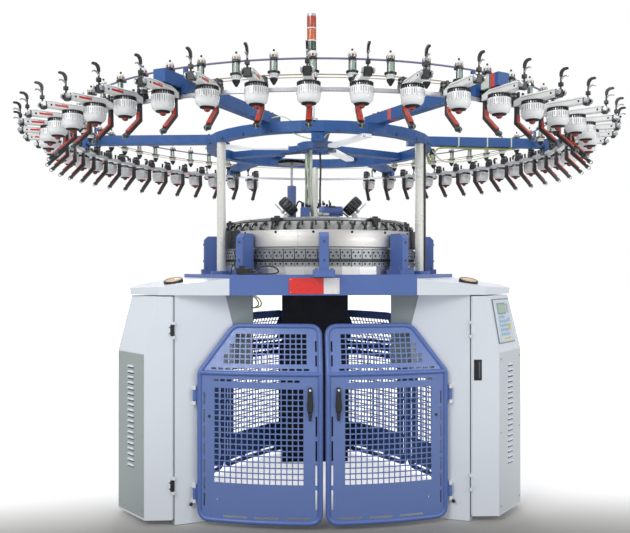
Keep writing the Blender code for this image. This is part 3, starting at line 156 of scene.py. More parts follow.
COAT_ROUGH = 0.12
GRAIN_DEEP = 0.0006
FINISHES = {
    "blue": surface("blue_coat", (0.082, 0.148, 0.4), 0.42, coat=0.1, vary=0.05, bump=0.06),
    "blue_deep": surface("blue_frame_coat", (0.014, 0.08, 0.27), 0.5, coat=0.0, vary=0.06, bump=0.06),
    "blue_sheet": surface("blue_sheet_coat", (0.118, 0.188, 0.44), 0.4, coat=0.15, vary=0.04, bump=0.05),
    "pale": surface("pale_coat", (0.7, 0.745, 0.81), 0.36, coat=0.2, vary=0.02, bump=0.05),
    # painted shade: a darker copy of the pale paint for the cabinet sides and the left louvred sheet
    "pale_side": surface("pale_painted_shade_coat", (0.33, 0.375, 0.375), 0.4, coat=0.15, vary=0.03, bump=0.05),
    # painted shade: a slightly darker copy of the pale paint for the right louvred sheet
    "pale_dim": surface("pale_soft_painted_shade_coat", (0.6, 0.64, 0.69), 0.38, coat=0.15, vary=0.02, bump=0.05),
    # dark cast metal for the band covers; also painted shade, near-black for the rear leg and the door handle
    # tails
    "casting": surface("dark_cast_and_painted_shade", (0.01, 0.014, 0.024), 0.48, vary=0.25, grain=160.0, bump=0.3),
    "steel": surface("ground_steel", (0.56, 0.56, 0.55), 0.34, metal=0.9, vary=0.05, grain=700.0,
        around=True, bump=0.05),
    "dial_steel": surface("dial_steel", (0.24, 0.25, 0.26), 0.3, metal=0.9, vary=0.08, grain=700.0,
        around=True, bump=0.05),
    "rod": surface("column_rod", (0.76, 0.765, 0.71), 0.3, metal=0.15, vary=0.03, grain=300.0, bump=0.02),
    "band": surface("cam_band", (0.5, 0.49, 0.48), 0.42, metal=0.85, vary=0.06, grain=900.0, around=True,
        bump=0.05),
    "gunmetal": surface("gunmetal", (0.11, 0.12, 0.135), 0.36, metal=0.8, vary=0.12, bump=0.06),
    "module": surface("module_plate", (0.26, 0.275, 0.29), 0.34, metal=0.75, vary=0.25, scale=30.0,
        bump=0.06),
    "black": surface("black_shell", (0.01, 0.011, 0.012), 0.38, vary=0.3, bump=0.1),
    # painted shade: a near-black used mostly where the shade inside holes, slots and recesses is painted, and
    # for a black ring under each drum
    "hole": surface("deep_hole", (0.004, 0.004, 0.005), 0.7, vary=0.3),
    "white": surface("white_shell", (0.74, 0.755, 0.75), 0.32, coat=0.2, vary=0.03, bump=0.05),
    "drum": surface("drum_white", (0.82, 0.84, 0.85), 0.22, coat=0.5, vary=0.03, bump=0.03),
    # painted shade: a grey for the drum grooves and the brake cup slots, where their shade is painted; also
    # the dark lines and patches on feeders and brakes
    "shade": surface("drum_groove", (0.23, 0.25, 0.26), 0.35, metal=0.3, vary=0.1),
    "silver": surface("silver_trim", (0.42, 0.44, 0.46), 0.28, metal=0.8, vary=0.08),
    "red": surface("red_mark", (0.56, 0.02, 0.02), 0.38, coat=0.2, vary=0.05),
    "plate_red": surface("plate_red", (0.72, 0.018, 0.014), 0.3, coat=0.5, vary=0.04, bump=0.03),
    "plate_white": surface("plate_white", (0.8, 0.79, 0.8), 0.3, coat=0.5, vary=0.02, bump=0.03),
    "orange": surface("orange_arm", (0.56, 0.042, 0.018), 0.34, coat=0.3, vary=0.12),
    "nub": surface("red_nub", (0.23, 0.012, 0.008), 0.22, coat=0.6, vary=0.15),
    "green": surface("green_glass", (0.24, 0.33, 0.28), 0.18, coat=0.7, vary=0.12),
    "tip": surface("arm_tip", (0.01, 0.028, 0.034), 0.3, coat=0.4, vary=0.2),
    "cream": surface("cream_cap", (0.64, 0.59, 0.5), 0.3, coat=0.3, vary=0.06),
    "violet": surface("violet_rod", (0.21, 0.195, 0.33), 0.3, metal=0.3, vary=0.08),
    "yarn": surface("tan_wire", (0.4, 0.3, 0.18), 0.55, vary=0.1),
    "cable_white": surface("white_cable", (0.6, 0.65, 0.54), 0.42, vary=0.08, bump=0.05),
    "cable_green": surface("green_cable", (0.3, 0.38, 0.27), 0.42, vary=0.1, bump=0.05),
    "cable_black": surface("black_cable", (0.012, 0.012, 0.013), 0.45, vary=0.2),
    "cable_yellow": surface("yellow_cable", (0.42, 0.46, 0.08), 0.42, vary=0.1),
    "ring": surface("creel_bar", (0.52, 0.515, 0.56), 0.32, metal=0.5, vary=0.05, bump=0.04),
    "light_bar": glow("light_cover", (0.9, 0.92, 0.93), 0.3),
    "screen": glow("panel_screen", (0.3, 0.42, 0.33), 0.1, 0.15),
    "key": surface("panel_key", (0.33, 0.48, 0.64), 0.45, vary=0.06),
    "panel": surface("panel_frame", (0.22, 0.26, 0.31), 0.4, vary=0.08),
    "panel_sheet": surface("panel_sheet", (0.56, 0.66, 0.72), 0.4, vary=0.04, bump=0.03),
    "yellow": surface("yellow_patch", (0.7, 0.52, 0.06), 0.45, vary=0.05),
    "beige": surface("beige_button", (0.7, 0.44, 0.24), 0.35, coat=0.3, vary=0.08),
    "guard_white": surface("guard_grey", (0.52, 0.53, 0.53), 0.5, vary=0.15),
    # painted shade: a grey for the front legs that stands for the pale cover's inner face in shade
    "leg_painted_shade_grey": surface("leg_painted_shade_grey", (0.26, 0.31, 0.315), 0.42, vary=0.1, bump=0.1),
    "lamp_red": lens("lamp_red", (0.42, 0.045, 0.014), 0.05),
    "lamp_orange": lens("lamp_orange", (0.56, 0.12, 0.025), 0.06),
    "lamp_green": lens("lamp_green", (0.006, 0.06, 0.036), 0.01),
}


# Mesh pieces: each maker gives (points, faces, smooth)

def from_bmesh(bm):
    bm.normal_update()
    points = [v.co.copy() for v in bm.verts]
    bm.verts.index_update()
    faces = [[v.index for v in f.verts] for f in bm.faces]
    bm.free()
    return points, faces, False


def block(size, edge=0.0, segments=1):
    """A box round the origin with its edges rounded off."""
    bm = bmesh.new()
    bmesh.ops.create_cube(bm, size=1.0)
    bmesh.ops.scale(bm, vec=Vector(size), verts=bm.verts)
    if edge:
        bmesh.ops.bevel(bm, geom=bm.edges[:], offset=edge, segments=segments, affect="EDGES", profile=0.5)
    return from_bmesh(bm)


def prism(outline, width, edge=0.0):
    """An outline in X and Z, given width across it along Y."""
    bm = bmesh.new()
    face = bm.faces.new([bm.verts.new((x, -width / 2, z)) for x, z in outline])
    grown = bmesh.ops.extrude_face_region(bm, geom=[face])
    raised = [v for v in grown["geom"] if isinstance(v, bmesh.types.BMVert)]
    bmesh.ops.translate(bm, vec=(0.0, width, 0.0), verts=raised)
    bmesh.ops.recalc_face_normals(bm, faces=bm.faces)
    if edge:
        bmesh.ops.bevel(bm, geom=bm.edges[:], offset=edge, segments=1, affect="EDGES", profile=0.5)
    return from_bmesh(bm)


def lathe(profile, steps=24):
    """(radius, height) points from top to bottom down the outer side, turned about Z."""
    points, rows = [], []
    for r, z in profile:
        if r < 1e-6:
            rows.append([len(points)] * steps)
            points.append((0.0, 0.0, z))
            continue
        rows.append(list(range(len(points), len(points) + steps)))
        points += [(r * cos(2 * pi * k / steps), r * sin(2 * pi * k / steps), z) for k in range(steps)]
    faces = []
    for above, below in zip(rows, rows[1:]):
        for k in range(steps):
            j = (k + 1) % steps
            corners = []
            for i in (above[k], below[k], below[j], above[j]):
                if i not in corners:
                    corners.append(i)
            if len(corners) > 2:
                faces.append(corners)
    return points, faces, True


def pipe(path, radius, sides=8, closed=False, ends=None):
    """A round tube along points; ends may give other radii at the first and last point."""
    path = [Vector(p) for p in path]
    count = len(path)
    normal = None
    points = []
    for i, here in enumerate(path):
        ahead = path[(i + 1) % count] if closed or i + 1 < count else here
        behind = path[i - 1] if closed or i else here
        along = (ahead - behind).normalized()
        if normal is None:
            normal = along.orthogonal().normalized()
        normal = (normal - along * normal.dot(along)).normalized()
        side = along.cross(normal)
        r = radius
        if ends and i == 0:
            r = ends[0]
        if ends and i == count - 1:
            r = ends[1]
        for k in range(sides):
            a = 2 * pi * k / sides
            points.append(here + (normal * cos(a) + side * sin(a)) * r)
    faces = []
    for i in range(count if closed else count - 1):
        n = (i + 1) % count
        for k in range(sides):
            j = (k + 1) % sides
            faces.append((i * sides + k, i * sides + j, n * sides + j, n * sides + k))
    if not closed:
        faces.append(tuple(reversed(range(sides))))
        faces.append(tuple(range((count - 1) * sides, count * sides)))
    return points, faces, True


def curve_through(knots, per=6, closed=False):
    """Points of a smooth curve through knots."""
    knots = [Vector(k) for k in knots]
    n = len(knots)
    out = []
    for i in range(n if closed else n - 1):
        p0 = knots[(i - 1) % n] if closed or i else knots[0]
        p1 = knots[i]
        p2 = knots[(i + 1) % n]
        p3 = knots[(i + 2) % n] if closed or i + 2 < n else knots[-1]
        for k in range(per):
            t = k / per
            square, cube = 2 * p0 - 5 * p1 + 4 * p2 - p3, 3 * p1 - p0 - 3 * p2 + p3
            out.append(0.5 * ((2 * p1) + (p2 - p0) * t + square * t * t + cube * t ** 3))
    if not closed:
        out.append(knots[-1])
    return out


def cable(knots, radius):
    return pipe(curve_through(knots, 8), radius, 8)


def at(x=0.0, y=0.0, z=0.0):
    return Matrix.Translation((x, y, z))


def turn(degree, axis="Z"):
    return Matrix.Rotation(radians(degree), 4, axis)


MIRROR = Matrix.Scale(-1.0, 4, (1.0, 0.0, 0.0))


class Shape:
    """Faces of one piece, each with its own material."""

    def __init__(self):
        self.points = []
        self.faces = []
        self.mats = []
        self.smooth = []

    def add(self, made, mat, place=None):
        points, faces, smooth = made
        return self.take(points, faces, [mat] * len(faces), [smooth] * len(faces), place)

    def around(self, count, made, mat, place, start=0.0, base=None):
        """Copies at even turns about Z, each first put at place."""
        for k in range(count):
            self.add(made, mat, (base or at()) @ turn(start + k * 360.0 / count) @ place)

    def join(self, other, place):
        return self.take(other.points, other.faces, other.mats, other.smooth, place)

    def take(self, points, faces, mats, smooth, place):
        base = len(self.points)
        place = place or at()
        self.points += [tuple(place @ Vector(p)) for p in points]
        order = -1 if place.determinant() < 0 else 1
        self.faces += [[base + i for i in face][::order] for face in faces]
        self.mats += mats
        self.smooth += smooth
        return self

    def piece(self, name, body="machine", replaces=(), slot=None, sharp=38.0):
        mesh = bpy.data.meshes.new(name)
        mesh.from_pydata([(x, y + AXIS_Y, z) for x, y, z in self.points], [], self.faces)
        used = sorted(set(self.mats))
        for key in used:
            mesh.materials.append(FINISHES[key])
        index = {key: i for i, key in enumerate(used)}
        mesh.polygons.foreach_set("material_index", [index[k] for k in self.mats])
        mesh.polygons.foreach_set("use_smooth", self.smooth)
        mesh.set_sharp_from_angle(angle=radians(sharp))
        mesh.update()
        obj = bpy.data.objects.new(name, mesh)
        bpy.context.scene.collection.objects.link(obj)
        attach(obj, body)
        if replaces:
            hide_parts(*replaces)
        return obj


def bolt(radius, height):
    """A socket screw head standing on Z = 0."""
    return lathe([(0.0, height * 0.45), (radius * 0.5, height * 0.45), (radius * 0.52, height),
        (radius * 0.86, height), (radius, height * 0.8), (radius, 0.0)], 12)


def knuckle(radius, end_radius, half, steps):
    """An upright hinge knuckle with its ends broken, its middle at the origin."""
    upper = [(0.0, half), (end_radius, half), (radius, half - 0.001)]
    return lathe(upper + [(r, -z) for r, z in reversed(upper)], steps)


def polar(r, angle):
    return r * cos(radians(angle)), r * sin(radians(angle))


def arc(r, z, start, end, steps):
    return [(*polar(r, start + (end - start) * k / steps), z) for k in range(steps + 1)]


def dress(node, key, edge=0.0, segments=2):
    """Give a CAD node its finish and softened edges."""
    obj = NODES[node]
    obj.data.materials.clear()
    obj.data.materials.append(FINISHES[key])
    obj.data.shade_flat()
    obj.data.shade_smooth()
    obj.data.set_sharp_from_angle(angle=radians(24.0))
    if edge:
        bevel = obj.modifiers.new("edge", "BEVEL")
        bevel.width = edge
        bevel.segments = segments
        bevel.limit_method = "ANGLE"
        bevel.angle_limit = radians(32.0)
        bevel.harden_normals = False
        bevel.use_clamp_overlap = True


# Nodes that keep their CAD shape, with their edges softened

dress("bed", "blue", 0.004)
# painted shade: the front legs take a darker grey for their shaded inner face
dress("leg_front_left", "leg_painted_shade_grey", 0.006)
dress("leg_front_right", "leg_painted_shade_grey", 0.006)
# painted shade: the rear leg is near-black for the shadow it stands in
dress("leg_rear", "casting", 0.006)
for side in ("left", "right"):
    for place in ("front", "rear"):
        dress("leg_cover_%s_%s" % (side, place), "pale")
    # painted shade: the cabinet sides take the darker copy of the pale paint
    dress("cabinet_" + side, "pale_side")
    dress("cabinet_lid_" + side, "pale", 0.004)
    dress("cabinet_door_" + side, "pale", 0.0012)
for column in ("front_left", "front_right", "rear"):
    dress("column_" + column, "rod", 0.002)
dress("creel_frame", "blue_deep", 0.003)
dress("dial_cable", "cable_white")
dress("column_cable", "cable_black")
dress("lower_cam_ring", "steel", 0.002)


# Knitting head

LOWER_TOP = 1.411
SELECTOR_TOP = 1.482
BAND_LOW = 1.492
BAND_TOP = 1.59
BAND_MIDDLE = (BAND_TOP + BAND_LOW) / 2
BAND_R = 0.612
BAND_COVER_ANGLES = (189.0, 196.0, 203.0, 210.0, 217.0, 332.0, 339.0, 346.0, 353.0)
GUIDE_TOP = 1.64
GUIDE_COUNT = 48
GUIDE_R = 0.574
GUIDE_BRACKETS = 6
MODULES = 60
MODULE_FACE_R = 0.604
MODULE_R = 0.603
INNER_R = 0.4
DIAL_TOP = 1.662
DIAL_FACE = DIAL_TOP - 0.008
DIAL_FOOT = DIAL_TOP - 0.0077
HUB_TOP = DIAL_TOP + 0.03

head = Shape()
head.add(lathe([(0.55, BAND_TOP), (BAND_R - 0.016, BAND_TOP), (BAND_R - 0.003, BAND_TOP - 0.003),
    (BAND_R, BAND_TOP - 0.008), (BAND_R, BAND_LOW + 0.004), (BAND_R - 0.004, BAND_LOW),
    (BAND_R - 0.02, BAND_LOW), (BAND_R - 0.02, SELECTOR_TOP), (0.5, SELECTOR_TOP)], 144), "band")
screw_spot = at(BAND_R - 0.0005, 0.0, BAND_TOP - 0.015) @ turn(90.0, "Y")
head.around(18, bolt(0.0075, 0.0012), "hole", screw_spot, 5.0)
seam = block((0.0015, 0.001, BAND_TOP - BAND_LOW - 0.012))
head.around(6, seam, "gunmetal", at(BAND_R - 0.0005, 0.0, BAND_MIDDLE), 17.0)
cover = block((0.016, 0.072, BAND_TOP - BAND_LOW + 0.004), 0.002)
for angle in BAND_COVER_ANGLES:
    place = turn(angle) @ at(BAND_R + 0.0045, 0.0, BAND_MIDDLE)
    head.add(cover, "casting", place)
    for side in (-1, 1):
        head.add(bolt(0.004, 0.003), "gunmetal", place @ at(0.006, side * 0.026, 0.036) @ turn(90.0, "Y"))
head.piece("needle_band_detail", replaces=("needle_band",), slot="polished_steel")

selector = Shape()
module = Shape()
module_h = SELECTOR_TOP - LOWER_TOP - 0.003
module_w = 2 * pi * MODULE_FACE_R / MODULES
module.add(block((0.03, module_w - 0.003, module_h - 0.016), 0.0015), "module", at(-0.015, 0.0, 0.008))
module.add(block((0.026, module_w - 0.001, 0.0135), 0.001), "gunmetal",
    at(-0.018, 0.0, -module_h / 2 + 0.008))
module.add(block((0.005, module_w - 0.003, 0.0225), 0.0008), "module",
    at(z=-module_h / 2 - 0.0125))
module.add(block((0.006, module_w, 0.0022), 0.0006), "silver", at(0.0005, 0.0, -module_h / 2 - 0.0235))
# painted shade: dark diamonds stand for the shade in the module's holes
diamond = block((0.0016, 0.0098, 0.0098))
for column in range(2):
    spot = at(0.0023, (column - 0.5) * 0.03, -module_h / 2 - 0.0115)
    module.add(diamond, "hole", spot @ turn(45.0, "X"))
module.add(block((0.004, module_w - 0.006, 0.003), 0.0008), "silver",
    at(0.0004, 0.0, module_h / 2 - 0.004))
module.add(block((0.004, module_w - 0.006, 0.0025), 0.0008), "silver",
    at(0.0004, 0.0, -module_h / 2 + 0.0175))
for row in range(2):
    for column in range(2):
        y = (column - 0.5) * 0.03 + (0.006 if row else -0.006)
        module.add(diamond, "hole", at(0.0003, y, 0.017 - row * 0.019) @ turn(45.0, "X"))
# painted shade: a row of dark blocks for the shade in the bottom slots
for column in range(4):
    spot = at(-0.005, (column - 1.5) * 0.015, -module_h / 2 + 0.008)
    module.add(block((0.003, 0.008, 0.0085)), "hole", spot)
module.add(bolt(0.0035, 0.0015), "silver", at(0.0, -0.026, 0.0245) @ turn(90.0, "Y"))
module.add(bolt(0.0035, 0.0015), "silver", at(0.0, 0.026, -0.004) @ turn(90.0, "Y"))
for k in range(MODULES):
    selector.join(module, turn(360.0 * k / MODULES) @ at(MODULE_R, 0.0, (SELECTOR_TOP + LOWER_TOP) / 2))
selector.add(lathe([(0.5, SELECTOR_TOP - 0.001), (0.585, SELECTOR_TOP - 0.001), (0.585, LOWER_TOP),
    (0.5, LOWER_TOP)], 96), "black")
selector.piece("selector_modules", replaces=("selector_ring",), slot="dark_steel")

guides = Shape()
guides.add(lathe([(0.548, BAND_TOP + 0.0485), (0.548, BAND_TOP + 0.001), (INNER_R, BAND_TOP + 0.001)],
    96), "guard_white")
hook = [(0.004, 0.0), (0.016, 0.0), (0.017, 0.014), (0.006, 0.033), (-0.014, 0.044), (-0.034, 0.0475)]
hook += [(-0.034, 0.036), (-0.018, 0.034), (-0.006, 0.025), (0.003, 0.012)]
finger = Shape()
finger.add(prism(hook, 0.013, 0.0015), "black")
finger.add(block((0.018, 0.02, 0.01), 0.002), "gunmetal", at(0.002, 0.0, 0.005))
finger.add(block((0.012, 0.01, 0.024), 0.002), "black", at(-0.012, 0.02, 0.036))
finger.add(pipe([(0.01, 0.006, 0.012), (0.018, 0.014, 0.024), (0.01, 0.018, 0.036)], 0.0018, 5), "silver")
for k in range(GUIDE_COUNT):
    guides.join(finger, turn(k * 360.0 / GUIDE_COUNT + 1.5) @ at(GUIDE_R, 0.0, BAND_TOP + 0.0005))
for k in range(GUIDE_BRACKETS):
    place = turn(k * 360.0 / GUIDE_BRACKETS + 2.5) @ at(0.548, 0.0, BAND_TOP + 0.058)
    guides.add(block((0.052, 0.056, 0.022), 0.002), "black", place)
    guides.add(block((0.016, 0.022, 0.04), 0.002), "black", place @ at(0.019, -0.01, -0.02))
    guides.add(block((0.02, 0.03, 0.014), 0.002), "black", place @ at(0.004, 0.004, 0.014))
    guides.add(bolt(0.0055, 0.006), "silver", place @ at(-0.014, -0.014, 0.011))
guides.piece("yarn_guide_fingers", replaces=("yarn_guide_ring",), slot="dark_steel")

dial = Shape()
dial.add(lathe([(0.0, HUB_TOP), (0.162, HUB_TOP), (0.168, DIAL_TOP + 0.026), (0.188, DIAL_TOP - 0.006),
    (0.196, DIAL_FACE), (0.44, DIAL_FACE), (0.444, DIAL_TOP - 0.01), (0.45, DIAL_TOP - 0.01),
    (0.454, DIAL_FACE), (0.5, DIAL_FACE), (0.508, DIAL_TOP - 0.001), (0.513, DIAL_TOP),
    (0.52, DIAL_TOP - 0.001), (0.533, DIAL_TOP - 0.006), (0.533, DIAL_TOP - 0.017),
    (0.529, DIAL_TOP - 0.02), (INNER_R, GUIDE_TOP + 0.0005)], 144), "dial_steel")
dial.add(lathe([(INNER_R, GUIDE_TOP + 0.0004), (INNER_R, BAND_TOP + 0.0015)], 96), "steel")
dial.around(24, bolt(0.006, 0.005), "gunmetal", at(0.478, 0.0, DIAL_FACE), 4.0)
dial.around(8, bolt(0.008, 0.007), "gunmetal", at(0.145, 0.0, HUB_TOP))
dial.piece("dial_detail", replaces=("dial",), slot="polished_steel")


# Dial top: motor, fans and drive

MOTOR_Y = -0.05
MOTOR_FINS = 24

motor = Shape()
motor_place = at(0.0, MOTOR_Y, HUB_TOP + 0.038)
motor.add(lathe([(0.0, 0.15), (0.026, 0.15), (0.031, 0.147), (0.031, 0.142), (0.028, 0.14), (0.028, 0.03),
    (0.032, 0.028), (0.032, 0.004), (0.029, 0.0), (0.0, 0.0)], 32), "blue_sheet",
    motor_place @ turn(90.0, "Y"))
for k in range(MOTOR_FINS):
    spot = motor_place @ at(0.086) @ turn(k * 360.0 / MOTOR_FINS, "X") @ at(0.0, 0.0, 0.0295)
    motor.add(block((0.104, 0.002, 0.0035), 0.0006), "blue", spot)
motor.add(block((0.105, 0.048, 0.012), 0.002), "blue", at(0.075, MOTOR_Y, HUB_TOP + 0.0065))
motor.add(block((0.045, 0.03, 0.022), 0.003), "black", motor_place @ at(0.08, -0.006, 0.0225))
for x, y, z, wide, deep, high, key in (
    (0.005, -0.075, 0.02, 0.03, 0.03, 0.02, "silver"),
    (0.042, -0.085, 0.016, 0.044, 0.026, 0.018, "silver"),
    (0.004, -0.05, 0.078, 0.022, 0.03, 0.024, "black"),
    (0.03, -0.05, 0.084, 0.018, 0.024, 0.018, "black"),
    (0.05, -0.046, 0.076, 0.016, 0.03, 0.014, "black"),
    (0.07, -0.05, 0.082, 0.014, 0.022, 0.022, "black"),
    (0.018, -0.04, 0.064, 0.06, 0.034, 0.012, "black"),
):
    motor.add(block((wide, deep, high), 0.003), key, at(x, y, HUB_TOP + z))
for x, tip in ((0.006, 0.112), (0.028, 0.104), (0.068, 0.106)):
    pin = [(x, MOTOR_Y, HUB_TOP + 0.085), (x - 0.004, MOTOR_Y, HUB_TOP + tip)]
    motor.add(pipe(pin, 0.0045, 8), "black")
motor.add(block((0.058, 0.058, 0.062), 0.004), "blue", at(-0.085, -0.045, HUB_TOP + 0.0315))
for x, y, high in ((-0.1, -0.05, 0.03), (-0.076, -0.04, 0.022), (-0.06, -0.052, 0.014)):
    motor.add(block((0.02, 0.028, high), 0.003), "black", at(x, y, HUB_TOP + 0.063 + high / 2))
motor.add(block((0.09, 0.05, 0.03), 0.004), "black", at(-0.17, 0.03, DIAL_TOP + 0.008))
feed = curve_through([(-0.1, -0.05, HUB_TOP + 0.09), (-0.128, -0.03, HUB_TOP + 0.098),
    (-0.15, 0.01, HUB_TOP + 0.04)], 6)
motor.add(pipe(feed, 0.005, 8), "cable_black")
feed = curve_through([(0.15, -0.05, HUB_TOP + 0.03), (0.17, -0.06, HUB_TOP + 0.012),
    (0.215, -0.062, DIAL_TOP + 0.006)], 6)
motor.add(pipe(feed, 0.0045, 8), "cable_black")
motor.piece("dial_motor_detail", replaces=("dial_motor",), slot="blue_paint")

FAN_AT = {"left": (-0.19, 1.762), "right": (0.212, 1.765)}
FAN_Y = -0.02
FAN_TILT = 46.0
FAN_BLADES = 4
FAN_RIBS = 16
for name, side in (("left", -1), ("right", 1)):
    fan = Shape()
    x, z = FAN_AT[name]
    place = at(x, FAN_Y, z) @ turn(-side * FAN_TILT, "Y")
    shell = [(0.0, 0.033), (0.05, 0.033), (0.057, 0.03), (0.06, 0.024), (0.06, -0.024), (0.057, -0.03),
        (0.048, -0.033), (0.0, -0.033)]
    fan.add(lathe(shell, 32), "black", place)
    fan.around(FAN_RIBS, block((0.004, 0.005, 0.044), 0.001), "gunmetal", at(0.06), base=place)
    fan.add(block((0.04, 0.05, 0.034), 0.003), "black", place @ at(side * 0.036, 0.03, 0.006))
    fan.add(lathe([(0.0, -0.033), (0.01, -0.033), (0.01, -0.056), (0.0, -0.058)], 16), "silver", place)
    blade = [(0.008, -0.002), (0.072, -0.004), (0.076, 0.006), (0.04, 0.01), (0.008, 0.004)]
    blade_spot = at(z=-0.05) @ turn(62.0, "X")
    fan.around(FAN_BLADES, prism(blade, 0.0028, 0.0008), "plate_white", blade_spot, base=place)
    out, top = abs(x), DIAL_FOOT + 0.012
    foot = [(out - 0.014, z - 0.05), (out + 0.008, z - 0.036), (out + 0.062, top), (out + 0.11, top)]
    foot += [(out + 0.11, DIAL_FOOT), (out + 0.048, DIAL_FOOT)]
    fan.add(prism(foot, 0.04, 0.002), "plate_white", (at() if side > 0 else MIRROR) @ at(0.0, FAN_Y))
    fan.add(bolt(0.005, 0.004), "gunmetal", at(side * (out + 0.096), FAN_Y, top))
    fan.piece("fan_%s_detail" % name, replaces=("fan_" + name,), slot="black_plastic")

DRIVE_AT = (-0.167, 0.17)
DRIVE_TOP = 1.912
PULLEY_TOP = 2.0725
PULLEY_GROOVES = 7
PULLEY_HOLES = 6

drive = Shape()
sleeve = [(0.0, DRIVE_TOP), (0.026, DRIVE_TOP), (0.029, 1.909), (0.029, 1.8), (0.027, 1.798),
    (0.027, 1.792)]
sleeve += [(0.029, 1.79), (0.029, DIAL_FOOT + 0.02), (0.029, DIAL_FOOT), (0.0, DIAL_FOOT)]
drive.add(lathe(sleeve, 32), "blue_sheet")
drive.add(lathe([(0.008, 2.055), (0.008, DRIVE_TOP)], 20), "silver")
pulley = [(0.0, 2.073), (0.03, 2.073), (0.032, PULLEY_TOP), (0.088, PULLEY_TOP)]
for k in range(PULLEY_GROOVES):
    pulley += [(0.09, 2.0715 - k * 0.0026), (0.0865, 2.0702 - k * 0.0026)]
drive.add(lathe(pulley + [(0.088, 2.0535), (0.01, 2.0535)], 48), "gunmetal")
hole = lathe([(0.0, 0.0008), (0.016, 0.0008), (0.016, 0.0)], 20)
drive.around(PULLEY_HOLES, hole, "hole", at(0.058, 0.0, PULLEY_TOP))
Shape().join(drive, at(*DRIVE_AT)).piece("dial_drive_detail", replaces=("dial_drive",), slot="blue_paint")


# Large feeders on the creel ring

CREEL_R = 1.48
CREEL_Z = 2.1245
FRONT_FEEDERS = 22
FRONT_PITCH = 7.7
REAR_FEEDERS = 13
REAR_PITCH = 6.1
REAR_GAP_HALF = 18.0
DRUM_AT = 0.106
DRUM_TEETH = 26
DRUM_GROOVES = 32
KNEE = -0.088
ROW_STEPS = 60

front_angles = [FRONT - FRONT_PITCH * (FRONT_FEEDERS - 1) / 2 + FRONT_PITCH * k for k in range(FRONT_FEEDERS)]
rear_angles = [90.0 + side * (REAR_GAP_HALF + REAR_PITCH * k)
    for side in (-1, 1) for k in range(REAR_FEEDERS)]
FEEDERS = sorted(a % 360.0 for a in front_angles + rear_angles)


